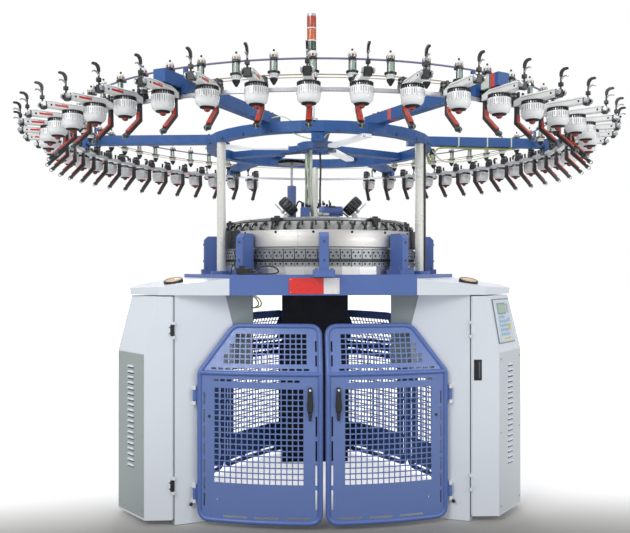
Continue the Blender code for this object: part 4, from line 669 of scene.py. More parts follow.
def make_feeder():
    unit = Shape()
    housing = [(0.018, -0.012), (0.05, -0.012), (0.064, -0.001), (0.235, -0.001), (0.235, 0.024),
        (0.226, 0.031), (0.066, 0.031), (0.018, 0.014)]
    unit.add(prism(housing, 0.043, 0.003), "white")
    unit.add(block((0.172, 0.0008, 0.0016)), "shade", at(0.148, -0.0217, 0.021))
    unit.add(block((0.172, 0.0008, 0.001)), "shade", at(0.148, 0.0217, 0.0245))
    for side in (-1, 1):
        spot = at(0.216, side * 0.0214, 0.011) @ turn(-90.0 * side, "X")
        unit.add(lathe([(0.0, 0.0012), (0.0042, 0.0012), (0.005, 0.0)], 12), "hole", spot)
    unit.add(block((0.064, 0.001, 0.009)), "red", at(0.168, 0.0217, 0.0125))
    unit.add(block((0.03, 0.001, 0.0024)), "red", at(0.152, 0.0217, 0.02))
    # clamp on the creel bar, with the drive wheels over it
    unit.add(block((0.036, 0.04, 0.03), 0.003), "black", at(0.0, 0.0, 0.016))
    unit.add(lathe([(0.0, 0.058), (0.008, 0.058), (0.008, 0.054), (0.021, 0.054), (0.022, 0.052),
        (0.022, 0.046), (0.019, 0.044)], 20), "black")
    unit.add(lathe([(0.019, 0.045), (0.019, 0.041), (0.023, 0.04), (0.023, 0.033), (0.008, 0.031)], 20),
        "gunmetal")
    for side in (-1, 1):
        unit.add(block((0.01, 0.012, 0.03), 0.002), "black", at(0.044, side * 0.016, 0.036))
    place = at(DRUM_AT)
    unit.add(lathe([(0.042, 0.0), (0.0435, -0.002), (0.0435, -0.015), (0.03, -0.0155)], 32), "silver",
        place)
    tooth = block((0.006, 0.0058, 0.015), 0.0012)
    unit.around(DRUM_TEETH, tooth, "black", at(0.0452, 0.0, -0.007), base=place)
    unit.add(lathe([(0.0435, -0.0005), (0.049, -0.0015), (0.049, -0.0035), (0.0435, -0.0045)], 32),
        "black", place)
    drum = [(0.03, -0.015), (0.046, -0.016), (0.0495, -0.019), (0.05, -0.023), (0.0498, -0.043),
        (0.0506, -0.045), (0.0506, -0.05), (0.0492, -0.052), (0.0488, -0.06), (0.047, -0.068),
        (0.0425, -0.076), (0.035, -0.082), (0.031, -0.0835)]
    unit.add(lathe(drum, 40), "drum", place)
    unit.add(lathe([(0.0318, -0.0828), (0.03, -0.088), (0.02, -0.0905), (0.014, -0.09)], 28), "hole",
        place)
    unit.add(lathe([(0.015, -0.089), (0.014, -0.096), (0.01, -0.101), (0.005, -0.1036), (0.0, -0.104)],
        20), "nub", place)
    # painted highlight: a small orange block on the red nub
    unit.add(block((0.004, 0.007, 0.006), 0.0015), "orange", place @ at(0.0122, 0.0, -0.096))
    # painted shade: grey strips laid on the drum for the shade in its grooves, and a row of notches for the
    # dark line lower down
    groove = block((0.0012, 0.0022, 0.02))
    unit.around(DRUM_GROOVES, groove, "shade", at(0.0497, 0.0, -0.033), base=place)
    notch = block((0.0012, 0.0026, 0.005))
    unit.around(DRUM_GROOVES // 2, notch, "shade", at(0.0502, 0.0, -0.0475), base=place)
    outer = [(0.016, -0.012), (0.014, KNEE - 0.002), (0.1, KNEE - 0.086), (0.11, KNEE - 0.076),
        (0.03, KNEE + 0.004), (0.03, -0.012)]
    unit.add(prism(outer, 0.026, 0.002), "black")
    inner = [(0.0285, -0.05), (0.0285, KNEE + 0.0035), (0.094, KNEE - 0.061), (0.099, KNEE - 0.056),
        (0.0345, KNEE + 0.007), (0.0335, -0.05)]
    unit.add(prism(inner, 0.02, 0.001), "orange")
    unit.add(block((0.018, 0.03, 0.02), 0.004), "tip", at(0.103, 0.0, KNEE - 0.079) @ turn(45.0, "Y"))
    unit.add(pipe(arc(0.009, 0.0, 0.0, 360.0, 12)[:-1], 0.0022, 6, True), "shade",
        at(0.113, 0.0, KNEE - 0.086) @ turn(90.0, "X"))
    # outer end: tension discs, post and fingers
    unit.add(block((0.022, 0.034, 0.036), 0.003), "black", at(0.243, 0.0, 0.008))
    for side in (-1, 1):
        disc = [(0.0, 0.01), (0.008, 0.01), (0.013, 0.006), (0.013, 0.003), (0.008, 0.0)]
        unit.add(lathe(disc, 18), "silver", at(0.252, side * 0.017, 0.01) @ turn(-90.0 * side, "X"))
    unit.add(pipe([(0.25, 0.0, 0.02), (0.251, 0.0, 0.06), (0.252, 0.0, 0.1)], 0.0042, 8), "black")
    upper = [(0.246, 0.078), (0.258, 0.078), (0.26, 0.092), (0.268, 0.101), (0.284, 0.102),
        (0.288, 0.106)]
    upper += [(0.284, 0.1125), (0.266, 0.113), (0.252, 0.106), (0.246, 0.094)]
    unit.add(prism(upper, 0.01, 0.001), "black")
    lower = curve_through([(0.252, 0.0, 0.062), (0.262, 0.0, 0.074), (0.277, 0.0, 0.077),
        (0.287, 0.0, 0.071)], 4)
    unit.add(pipe(lower, 0.0036, 6, ends=(0.0042, 0.0018)), "silver")
    unit.add(block((0.018, 0.018, 0.018), 0.002), "black", at(0.251, 0.0, 0.044))
    return unit


feeder = make_feeder()
gap_middles = [(a + b) / 2 for a, b in zip(FEEDERS, FEEDERS[1:])]
gap_middles += [m + 360.0 for m in gap_middles]


def row_joint(k):
    wanted = FRONT - 60.0 + k * FOLD
    return min(gap_middles, key=lambda m: abs(m - wanted))


for k, name in enumerate(("front", "right", "left")):
    row = Shape()
    start, end = row_joint(k), row_joint(k + 1)
    section = [(-0.006, -0.0075), (-0.0045, -0.009), (0.0045, -0.009), (0.006, -0.0075)]
    section += [(0.006, 0.0075), (0.0045, 0.009), (-0.0045, 0.009), (-0.006, 0.0075)]
    points = []
    for i in range(ROW_STEPS + 1):
        angle = start + (end - start) * i / ROW_STEPS
        for dr, dz in section:
            points.append((*polar(CREEL_R + dr, angle), CREEL_Z + dz))
    faces = []
    n = len(section)
    for i in range(ROW_STEPS):
        for j in range(n):
            faces.append((i * n + j, i * n + (j + 1) % n, (i + 1) * n + (j + 1) % n, (i + 1) * n + j))
    row.add((points, faces, True), "ring")
    for angle in FEEDERS:
        if 0.0 < (angle - start) % 360.0 < end - start:
            row.join(feeder, turn(angle) @ at(CREEL_R, 0.0, CREEL_Z))
    row.piece("feeder_row_%s_detail" % name, replaces=("feeder_row_" + name,), slot="white_plastic")


# Small yarn brakes on the upper ring

UPPER_R = 1.42
UPPER_Z = 2.271
BRAKE_PITCH = 6.75
BRAKES = [FRONT + side * (k + 0.5) * BRAKE_PITCH for side in (-1, 1) for k in range(24)]
CAP_TEETH = 18
CUP_GROOVES = 14


def make_brake():
    unit = Shape()
    unit.add(lathe([(0.0, 0.042), (0.004, 0.0415), (0.0055, 0.037), (0.004, 0.0325), (0.002, 0.031),
        (0.002, 0.027)], 10), "black")
    unit.add(lathe([(0.0, 0.03), (0.012, 0.0295), (0.017, 0.027), (0.019, 0.022), (0.019, 0.017),
        (0.017, 0.016)], 20), "white")
    unit.add(lathe([(0.0185, 0.017), (0.0185, 0.006), (0.015, 0.004)], 20), "cream")
    for k, key in enumerate(("nub", "shade", "nub", "gunmetal", "shade", "nub", "gunmetal", "shade")):
        unit.add(block((0.004, 0.0085, 0.01), 0.001), key, turn(k * 45.0) @ at(0.0172, 0.0, 0.011))
    unit.add(block((0.034, 0.028, 0.01), 0.002), "black", at(z=-0.002))
    unit.add(block((0.034, 0.014, 0.012), 0.001), "gunmetal", at(-0.012, 0.0, 0.0))
    unit.add(lathe([(0.012, -0.006), (0.012, -0.014), (0.015, -0.02), (0.0145, -0.04), (0.017, -0.053)],
        18), "green")
    for side in (-1, 1):
        unit.add(block((0.006, 0.004, 0.044), 0.001), "black", at(0.004, side * 0.015, -0.028))
    unit.add(lathe([(0.018, -0.052), (0.025, -0.054), (0.025, -0.06), (0.018, -0.062)], 24), "black")
    unit.around(CAP_TEETH, block((0.003, 0.0034, 0.007)), "black", at(0.0256, 0.0, -0.0575))
    unit.add(lathe([(0.017, -0.061), (0.02, -0.064), (0.02, -0.08), (0.017, -0.084)], 24), "drum")
    # painted shade: grey strips for the shade in the cup's slots
    unit.around(CUP_GROOVES, block((0.0012, 0.003, 0.011)), "shade", at(0.0198, 0.0, -0.071))
    unit.add(lathe([(0.018, -0.083), (0.0175, -0.09), (0.005, -0.11), (0.0, -0.112)], 16), "black")
    return unit


brake = make_brake()
for k, name in enumerate(("front", "right", "left")):
    row = Shape()
    start = FRONT - 60.0 + k * FOLD
    row.add(pipe(arc(UPPER_R, UPPER_Z, start, start + FOLD, ROW_STEPS), 0.0048, 8), "violet")
    for drop, radius in ((0.06, 0.0026), (0.073, 0.0018)):
        row.add(pipe(arc(UPPER_R - 0.03, UPPER_Z - drop, start, start + FOLD, ROW_STEPS), radius, 6),
            "yarn")
    for angle in BRAKES:
        if 0.0 < (angle - start) % 360.0 < FOLD:
            row.join(brake, turn(angle) @ at(UPPER_R + 0.004, 0.0, UPPER_Z))
    row.piece("brake_row_%s_detail" % name, replaces=("brake_row_" + name,), slot="violet_rod")


# Signal lamp

LAMP_AT = (-0.065, -0.6685)
LAMP_TOP = 2.733
LENS_TALL = 0.06
LENS_RIBS = 32
COLLAR_TALL = 0.007

lamp = Shape()
z = LAMP_TOP - 0.017
cap = [(0.0, LAMP_TOP), (0.019, LAMP_TOP), (0.0235, LAMP_TOP - 0.003), (0.0245, LAMP_TOP - 0.006),
    (0.0245, z)]
lamp.add(lathe(cap + [(0.022, z - 0.001)], 32), "silver")
for key in ("lamp_red", "lamp_orange", "lamp_green"):
    z -= LENS_TALL
    lamp.add(lathe([(0.0235, z + 0.06), (0.0242, z + 0.057), (0.0242, z + 0.003), (0.0235, z)], 32), key)
    lamp.around(LENS_RIBS, block((0.0012, 0.002, 0.056)), key, at(0.0242, 0.0, z + LENS_TALL / 2))
    z -= COLLAR_TALL
    lamp.add(lathe([(0.023, z + 0.007), (0.0255, z + 0.0062), (0.0255, z + 0.001), (0.023, z)], 32),
        "white")
stem = [(0.024, z), (0.024, z - 0.008), (0.016, z - 0.014), (0.016, 2.18), (0.02, 2.176), (0.034, 2.172)]
lamp.add(lathe(stem + [(0.035, 2.17), (0.035, 2.1615)], 32), "silver")
lamp.around(3, bolt(0.004, 0.004), "gunmetal", at(0.027, 0.0, 2.1735), 30.0)
Shape().join(lamp, at(*LAMP_AT)).piece("signal_lamp_detail", replaces=("signal_lamp",),
    slot="lamp_plastic")


# Light bars

LIGHTS = ((-0.375, -0.25, 0.0, 2.1027), (0.15, -0.48, -63.0, 2.1027), (0.15, 0.08, 68.0, 2.1097))
for k, (x, y, direction, top) in enumerate(LIGHTS):
    bar = Shape()
    place = at(x, y, top - 0.0112) @ turn(direction)
    bar.add(block((0.374, 0.058, 0.0215), 0.004, 2), "light_bar", place)
    for side in (-1, 1):
        bar.add(block((0.006, 0.056, 0.0218), 0.002), "silver", place @ at(side * 0.1865))
        bar.add(bolt(0.004, 0.0003), "hole", place @ at(side * 0.16, 0.0, -0.01075) @ turn(180.0, "X"))
    bar.piece("light_bar_%d_detail" % (k + 1), replaces=("light_bar_%d" % (k + 1),), slot="white_plastic")


# Guard doors

APEX_Y = -0.722
BOW_R = 2.1
HALF_GAP = 0.02
EDGE_X = 0.665
BOTTOM_Z = 0.0355
MID_Z = 0.818
TOP_Z = 1.063
TOP_EDGE_X = 0.485
LEAN = 25.0
TUBE_R = 0.0135
INSET = 0.008
HINGE_X = 0.692
HINGE_Z = (0.168, 0.694)
HOLE_PITCH = 0.03
HOLE = 0.0236
LOWER_COLUMNS, LOWER_ROWS = 16, 17
UPPER_COLUMNS, UPPER_ROWS = 15, 6
UPPER_ROW_PITCH, UPPER_HOLE_TALL = 0.0265, 0.0205
INNER_SLOT = (0.0375, 0.0465)
OUTER_SLOT = (0.634, 0.643)
HANDLE_X = 0.075
HANDLE_Z = 0.75
LATCH_X = 0.61


def door_plan(x):
    return APEX_Y + BOW_R - (BOW_R ** 2 - x ** 2) ** 0.5


def door_point(x, z, proud=0.0):
    lean = max(0.0, z - MID_Z) * tan(radians(LEAN))
    return Vector((x, door_plan(x) + lean - proud, z))


def side_x(z):
    share = min(1.0, max(0.0, (z - MID_Z) / (TOP_Z - MID_Z)))
    return EDGE_X + share * (TOP_EDGE_X - EDGE_X)


def rounded(corners, steps=7):
    out = []
    count = len(corners)
    for i, (x, z, radius) in enumerate(corners):
        here = Vector((x, z))
        if radius == 0.0:
            out.append(here)
            continue
        before = (Vector(corners[i - 1][:2]) - here).normalized() * radius
        after = (Vector(corners[(i + 1) % count][:2]) - here).normalized() * radius
        for k in range(steps + 1):
            t = k / steps
            out.append((1 - t) ** 2 * (here + before) + 2 * t * (1 - t) * here + t ** 2 * (here + after))
    return out


def frame_path():
    corners = [(HALF_GAP, BOTTOM_Z, 0.055), (EDGE_X, BOTTOM_Z, 0.055), (EDGE_X, MID_Z, 0.018),
        (TOP_EDGE_X, TOP_Z, 0.04), (HALF_GAP, TOP_Z, 0.055)]
    flat = rounded(corners)
    dense = []
    for i, p in enumerate(flat):
        q = flat[(i + 1) % len(flat)]
        cuts = max(1, round((q - p).length / 0.035))
        dense += [p.lerp(q, k / cuts) for k in range(cuts)]
    return [door_point(p.x, p.y) for p in dense]


def pierced(low_x, high_x, low_z, high_z, holes, clip=None, thick=0.003, steps=0.045):
    """A flat sheet in (x, z) with rectangular holes, bent onto the door surface."""
    xs = {low_x, high_x}
    zs = {low_z, high_z}
    for x0, x1, z0, z1 in holes:
        xs |= {x0, x1}
        zs |= {z0, z1}
    xs, zs = fill(sorted(xs), steps), fill(sorted(zs), 0.12)
    bm = bmesh.new()
    grid = [[bm.verts.new((x, 0.0, z)) for x in xs] for z in zs]
    for j in range(len(zs) - 1):
        for i in range(len(xs) - 1):
            cx, cz = (xs[i] + xs[i + 1]) / 2, (zs[j] + zs[j + 1]) / 2
            if any(x0 < cx < x1 and z0 < cz < z1 for x0, x1, z0, z1 in holes):
                continue
            bm.faces.new((grid[j][i], grid[j][i + 1], grid[j + 1][i + 1], grid[j + 1][i]))
    if clip:
        bmesh.ops.bisect_plane(bm, geom=bm.verts[:] + bm.edges[:] + bm.faces[:], plane_co=clip[0],
            plane_no=clip[1], clear_outer=True)
    loose = [v for v in bm.verts if not v.link_faces]
    bmesh.ops.delete(bm, geom=loose, context="VERTS")
    walls = [e for e in bm.edges if len(e.link_faces) == 1]
    front = list(bm.faces)
    grown = bmesh.ops.duplicate(bm, geom=bm.verts[:] + bm.edges[:] + front)
    twin = grown["vert_map"]
    for vert in bm.verts:
        vert.tag = False
    for vert in {v for f in front for v in f.verts}:
        twin[vert].tag = True
    for edge in walls:
        a, b = edge.verts
        bm.faces.new((a, b, twin[b], twin[a]))
    for vert in bm.verts:
        back = thick / 2 if vert.tag else -thick / 2
        vert.co = door_point(vert.co.x, vert.co.z, -back)
    bmesh.ops.recalc_face_normals(bm, faces=bm.faces)
    return from_bmesh(bm)


def fill(values, longest):
    out = [values[0]]
    for value in values[1:]:
        cuts = max(1, int((value - out[-1]) / longest + 0.999))
        start = out[-1]
        out += [start + (value - start) * k / cuts for k in range(1, cuts + 1)]
    return out


def side_slots(x0, x1, z0, z1, length, tab):
    """Upright slots in a row between z0 and z1."""
    out = []
    z = z0
    while z + length <= z1 + 1e-6:
        out.append((x0, x1, z, z + length))
        z += length + tab
    return out


def level_slots(starts, length, z0, z1):
    """Level slots in a row, each from one of the starts."""
    return [(x, x + length, z0, z1) for x in starts]


def door_shape():
    frame_tube = Shape()
    frame_tube.add(pipe(frame_path(), TUBE_R, 14, True), "blue")
    rail = [door_point(HALF_GAP + (EDGE_X - HALF_GAP) * k / 24, MID_Z) for k in range(25)]
    frame_tube.add(pipe(rail, TUBE_R * 0.9, 12), "blue")
    axis_y = door_plan(EDGE_X)
    for height in HINGE_Z:
        frame_tube.add(knuckle(0.0095, 0.0085, 0.03, 20), "blue", at(HINGE_X, axis_y, height))
        frame_tube.add(block((0.03, 0.006, 0.054), 0.001), "blue", at(0.68, axis_y, height))
    inner = HALF_GAP + INSET
    outer = EDGE_X - INSET
    lower = []
    for c in range(LOWER_COLUMNS):
        for r in range(LOWER_ROWS):
            x = 0.11 + c * HOLE_PITCH
            z = 0.236 + r * HOLE_PITCH
            lower.append((x, x + HOLE, z, z + HOLE))
    lower += level_slots([0.13 + c * 0.036 for c in range(13)], 0.027, 0.775, 0.787)
    lower += side_slots(*INNER_SLOT, 0.105, 0.72, 0.105, 0.024)
    lower += side_slots(*OUTER_SLOT, 0.105, 0.76, 0.068, 0.022)
    lower += level_slots((0.075, 0.24, 0.405), 0.13, 0.052, 0.064)
    lower.append((0.566, 0.57, 0.14, 0.15))
    sheets = Shape()
    sheets.add(pierced(inner, outer, BOTTOM_Z + INSET, MID_Z, lower), "blue_sheet")
    upper = []
    for r in range(UPPER_ROWS):
        z = 0.868 + r * UPPER_ROW_PITCH
        for c in range(UPPER_COLUMNS):
            x = 0.092 + c * HOLE_PITCH
            if x + HOLE < side_x(z + 0.02) - 0.04:
                upper.append((x, x + HOLE, z, z + UPPER_HOLE_TALL))
    upper += level_slots([0.08 + c * 0.038 for c in range(14)], 0.028, 0.836, 0.846)
    upper += side_slots(*INNER_SLOT, 0.858, 1.03, 0.055, 0.018)
    slope = Vector((TOP_Z - MID_Z, 0.0, EDGE_X - TOP_EDGE_X)).normalized()
    clip = ((EDGE_X - INSET, 0.0, MID_Z), slope)
    sheets.add(pierced(inner, EDGE_X - INSET, MID_Z, TOP_Z - INSET, upper, clip), "blue_sheet")
    fittings = Shape()
    grip = [(-0.01, 0.0, 0.008), (0.01, 0.0, 0.008), (0.017, -0.1, 0.01), (0.013, -0.13, 0.01)]
    grip += [(-0.013, -0.13, 0.01), (-0.017, -0.1, 0.01)]
    # painted shadow: the dark tail keeps the handle's full length and is coloured for the shadow and
    # reflection below the grip
    tail = [(-0.012, -0.12, 0.002), (0.012, -0.12, 0.002), (0.006, -0.175, 0.006),
        (-0.006, -0.175, 0.006)]
    for corners, wide, edge, key, proud in ((tail, 0.012, 0.003, "casting", 0.009),
            (grip, 0.018, 0.004, "black", 0.012)):
        outline = [(p.x, p.y) for p in rounded(corners, 4)]
        fittings.add(prism(outline, wide, edge), key, at(HANDLE_X, door_plan(HANDLE_X) - proud, HANDLE_Z))
    cap = lathe([(0.0, 0.003), (0.0055, 0.003), (0.0065, 0.0)], 14)
    fittings.add(cap, "plate_white", at(HANDLE_X, door_plan(HANDLE_X) - 0.021, 0.738) @ turn(90.0, "X"))
    latch = lathe([(0.0, 0.002), (0.0075, 0.002), (0.0085, 0.0)], 16)
    fittings.add(latch, "black", at(LATCH_X, door_plan(LATCH_X) - 0.0015, 0.585) @ turn(90.0, "X"))
    return frame_tube, sheets, fittings


door_parts = door_shape()
for pair, angle in (("front", 0.0), ("rear_right", 120.0), ("rear_left", 240.0)):
    for name, side in (("left", -1), ("right", 1)):
        body = "guard_door_%s_%s" % (pair, name)
        node = "door_%s_%s_leaf" % (pair, name)
        place = turn(angle) @ (MIRROR if side < 0 else Matrix.Identity(4))
        for part, label, slot in zip(door_parts, ("frame", "sheets", "fittings"),
                ("blue_paint", "blue_paint", "black_plastic")):
            Shape().join(part, place).piece("%s_%s" % (node, label), body,
                (node,) if label == "frame" else (), slot)


# Cabinets: louvres, hinges, recessed handle, panel, inserts and knobs

CHAMFER_TURN = 48.3
CHAMFER_MID = (1.0505, -0.525)
CAB_HINGE = (0.80552, -0.635)
COVER_HINGE_Z = (0.215, 1.045)
LOUVRES = 19
LOUVRE_PITCH = 0.03
LOUVRE_LOW = 0.302


def louvred_sheet(sheet, hinge_heights):
    out = Shape()
    face = at(*CHAMFER_MID) @ turn(CHAMFER_TURN)
    out.add(block((0.272, 0.0012, 0.874), 0.0004), sheet, face @ at(0.0, -0.0007, 0.478))
    hood = prism([(-0.006, 0.006), (0.0, 0.006), (0.0065, -0.004), (0.005, -0.005), (-0.006, -0.005)],
        0.062, 0.0008)
    for k in range(LOUVRES):
        spot = face @ at(0.0, -0.0012, LOUVRE_LOW + k * LOUVRE_PITCH)
        out.add(hood, "pale", spot @ turn(-90.0))
        # painted shade: a dark strip under each hood for the shadow in its slit
        out.add(block((0.06, 0.001, 0.007)), "hole", spot @ at(0.0, -0.0004, -0.0088))
    for x in (-0.12, 0.12):
        for z in (0.08, 0.48, 0.88):
            out.add(bolt(0.005, 0.0025), "silver", face @ at(x, -0.0013, z) @ turn(90.0, "X"))
    out.add(block((0.0046, 0.002, 1.19), 0.0004), "pale", at(0.8053, -0.629, 0.63))
    for height in hinge_heights:
        hinge = at(*CAB_HINGE, height)
        out.add(knuckle(0.007, 0.0062, 0.031, 18), "black", hinge)
        out.add(block((0.013, 0.0076, 0.056), 0.001), "black", hinge @ at(0.007, 0.0026))
        for z in (-0.016, 0.016):
            out.add(bolt(0.0035, 0.0018), "gunmetal", hinge @ at(0.016, -0.0011, z) @ turn(90.0, "X"))
    return out


# painted shade: the left louvred sheet takes the darker copy of the pale paint
left = Shape().join(louvred_sheet("pale_side", COVER_HINGE_Z), MIRROR)
left.piece("cabinet_cover_left_fittings", "cabinet_cover_left", slot="grey_paint")
# painted shade: the right louvred sheet takes the softer darker copy of the pale paint
right = louvred_sheet("pale_dim", ())
grip_at = at(0.84, -0.63, 0.824)
right.add(block((0.044, 0.004, 0.114), 0.0015), "black", grip_at)
# painted shade: a dark back inside the recessed grip
right.add(block((0.032, 0.0012, 0.1)), "hole", grip_at @ at(0.0, -0.0021))
right.add(block((0.01, 0.005, 0.092), 0.0015), "gunmetal", grip_at @ at(0.008, -0.0022))
right.piece("cabinet_cover_right_fittings", "cabinet_cover_right", slot="grey_paint")

PANEL_MIDDLE = (1.0143, -0.5266, 1.0846)
PANEL_ACROSS = Vector((0.665, 0.7468, 0.0))
PANEL_UP = Vector((-0.1352, 0.1204, 0.9835))
PANEL_OUT = PANEL_ACROSS.cross(PANEL_UP).normalized()
SOFT_KEYS = 5
KEY_ROWS, KEY_COLUMNS = 5, 4

panel_turn = Matrix((PANEL_ACROSS, PANEL_UP, PANEL_OUT)).transposed().to_4x4()
panel_place = Matrix.Translation(PANEL_MIDDLE) @ panel_turn
desk = Shape()
for size, edge, key, spot in (
    ((0.204, 0.248, 0.004), 0.0015, "panel", (0.0, 0.0, -0.0018)),
    ((0.19, 0.234, 0.002), 0.0008, "pale", (0.0, 0.0, 0.001)),
    ((0.164, 0.2248, 0.0078), 0.002, "panel_sheet", (0.0, 0.0, 0.0)),
    ((0.1, 0.062, 0.002), 0.0008, "panel", (-0.016, 0.068, 0.0046)),
    ((0.086, 0.048, 0.0008), 0.0, "screen", (-0.016, 0.068, 0.0056)),
    ((0.022, 0.03, 0.002), 0.0007, "yellow", (0.054, -0.036, 0.005)),
    ((0.022, 0.02, 0.002), 0.0007, "key", (0.054, 0.004, 0.005)),
    ((0.07, 0.008, 0.0012), 0.0004, "yellow", (0.01, -0.098, 0.0046)),
):
    desk.add(block(size, edge), key, panel_place @ at(*spot))
for k in range(SOFT_KEYS):
    desk.add(block((0.018, 0.006, 0.0016), 0.0005), "panel",
        panel_place @ at(0.056, 0.09 - k * 0.011, 0.0046))
for row in range(KEY_ROWS):
    for column in range(KEY_COLUMNS):
        if (row, column) != (0, KEY_COLUMNS - 1):
            spot = at(-0.055 + column * 0.027, 0.022 - row * 0.024, 0.005)
            desk.add(block((0.019, 0.015, 0.002), 0.0007), "key", panel_place @ spot)
desk.piece("control_panel_detail", "cabinet_cover_right", replaces=("control_panel",),
    slot="black_plastic")

KNOB_AT = (0.716, -0.6035, 0.108)
LID_INSERT_AT = (0.82705, -0.4775, 1.3005)
LEG_TURN = -30.0

knob = lathe([(0.0, 0.016), (0.007, 0.016), (0.0095, 0.013), (0.0095, 0.006), (0.006, 0.004),
    (0.006, 0.0)], 24)
insert_ring = lathe([(0.0445, 0.0136), (0.049, 0.014), (0.053, 0.0115), (0.0535, 0.004),
    (0.0535, -0.022)], 48)
insert_top = lathe([(0.0, 0.0145), (0.03, 0.0142), (0.033, 0.0128), (0.044, 0.0128), (0.045, 0.012)], 48)
# painted shade: each strip takes its side's darker copy of the pale paint
for name, mirror, sheet in (("right", at(), "pale_dim"), ("left", MIRROR, "pale_side")):
    extra = Shape()
    extra.add(knob, "black", mirror @ at(*KNOB_AT) @ turn(LEG_TURN) @ turn(90.0, "X"))
    lid_spot = mirror @ at(*LID_INSERT_AT) @ turn(10.0, "X") @ turn(LEG_TURN) @ turn(8.25, "Y")
    extra.add(insert_ring, "black", lid_spot)
    extra.add(insert_top, "beige", lid_spot)
    strip = block((0.003, 0.27, 0.026), 0.0005)
    extra.add(strip, sheet, mirror @ turn(LEG_TURN) @ at(1.007, 0.0, 0.0165))
    extra.piece("cabinet_%s_knob_and_insert" % name, slot="black_plastic")


# Bed: nameplate, screws, junction box and its loops of cable

PLATE_Y = -0.662
PLATE_Z = 1.282
BOX_AT = (-0.425, -0.6, 1.3598)
POST_COUNT = 9
POST_FLANGE_Z = 1.3702

bed_extra = Shape()
bed_extra.add(block((0.27, 0.003, 0.086), 0.0008), "plate_white", at(-0.0505, PLATE_Y, PLATE_Z))
bed_extra.add(block((0.186, 0.003, 0.0862), 0.0008), "plate_red", at(-0.0925, PLATE_Y - 0.0003, PLATE_Z))
for x in (-0.177, 0.076):
    for z in (1.247, 1.317):
        bed_extra.add(bolt(0.0032, 0.0016), "silver", at(x, PLATE_Y - 0.0016, z) @ turn(90.0, "X"))
bed_extra.add(block((0.088, 0.036, 0.034), 0.003), "black", at(*BOX_AT))
bed_extra.add(block((0.03, 0.026, 0.014), 0.002), "black", at(-0.44, -0.6, 1.383))
gland = lathe([(0.0, 0.014), (0.006, 0.014), (0.008, 0.01), (0.008, 0.0)], 14)
bed_extra.add(gland, "gunmetal", at(-0.381, -0.6, 1.362) @ turn(90.0, "Y"))
loop = [(-0.37, -0.6, 1.362), (-0.33, -0.606, 1.388), (-0.27, -0.612, 1.384), (-0.242, -0.616, 1.362)]
loop += [(-0.262, -0.62, 1.348), (-0.33, -0.622, 1.3468), (-0.4, -0.628, 1.3468), (-0.455, -0.61, 1.3468)]
bed_extra.add(cable(loop, 0.004), "cable_black")
left_wire = [(-0.47, -0.59, 1.366), (-0.492, -0.56, 1.395), (-0.505, -0.54, 1.35), (-0.52, -0.52, 1.3465)]
bed_extra.add(cable(left_wire, 0.0032), "cable_black")
for k in range(POST_COUNT):
    post = turn(FRONT + k * 360.0 / POST_COUNT)
    for side in (-1, 1):
        bed_extra.add(bolt(0.0075, 0.008), "gunmetal", post @ at(0.705, side * 0.042, POST_FLANGE_Z))
    for z in (1.42, 1.52):
        bed_extra.add(bolt(0.006, 0.004), "gunmetal", post @ at(0.7127, 0.0, z) @ turn(90.0, "Y"))
for k, key in enumerate(("cable_yellow", "cable_green")):
    x = -0.385 - k * 0.016
    drop = [(x, -0.5, 1.2315), (x + 0.036, -0.505, 1.205), (x + 0.046, -0.505, 1.175)]
    drop += [(x + 0.022, -0.5, 1.158), (x - 0.02, -0.49, 1.16)]
    bed_extra.add(cable(drop, 0.0042), key)
bed_extra.piece("bed_plate_screws_and_box", slot="black_plastic")


# Overhead frame: screws, clamp, tapes and cables

ARM_MIDDLE_Z = 2.1875
ARM_TOP_Z = 2.216
ARM_TURNS = (27.0, 94.5, 155.25)
TAPE = (0.0616, 0.0586)
RING_FACE_R = 0.6972
RING_SCREWS = 24
CLAMP_AT = (-0.034, -0.664, 2.0765)

over = Shape()
ring_spot = at(RING_FACE_R, 0.0, 2.114) @ turn(90.0, "Y")
over.around(RING_SCREWS, bolt(0.0065, 0.005), "gunmetal", ring_spot, 6.0)
over.add(block((0.066, 0.044, 0.052), 0.003), "blue_deep", at(*CLAMP_AT))
over.add(bolt(0.006, 0.004), "gunmetal", at(*CLAMP_AT) @ at(0.0, -0.0222) @ turn(90.0, "X"))
for r, wide, key in ((0.81, 0.03, "orange"), (1.575, 0.026, "orange"), (1.53, 0.05, "cable_white")):
    over.add(block((wide, *TAPE), 0.001), key, turn(FRONT + ARM_TURNS[0]) @ at(r, 0.0, ARM_MIDDLE_Z))
for angle in ARM_TURNS:
    for side in (-1, 1):
        beam = turn(FRONT + side * angle)
        for r in (0.645, 0.69):
            for y in (-0.018, 0.018):
                over.add(bolt(0.0075, 0.007), "gunmetal", beam @ at(r, y, ARM_TOP_Z))
        over.add(block((0.03, 0.04, 0.05), 0.002), "gunmetal", beam @ at(CREEL_R, 0.0, CREEL_Z + 0.016))
        over.add(bolt(0.0075, 0.006), "silver", beam @ at(CREEL_R, 0.0, ARM_TOP_Z))
over.piece("overhead_screws_and_tapes", slot="blue_paint")

STRAND_AT = (-0.0678, 0.0)
STRAND_R = 0.0125
STRAND_TOP = 2.098
STRANDS = 5
BEAM_BOX_AT = (0.722, 0.03)

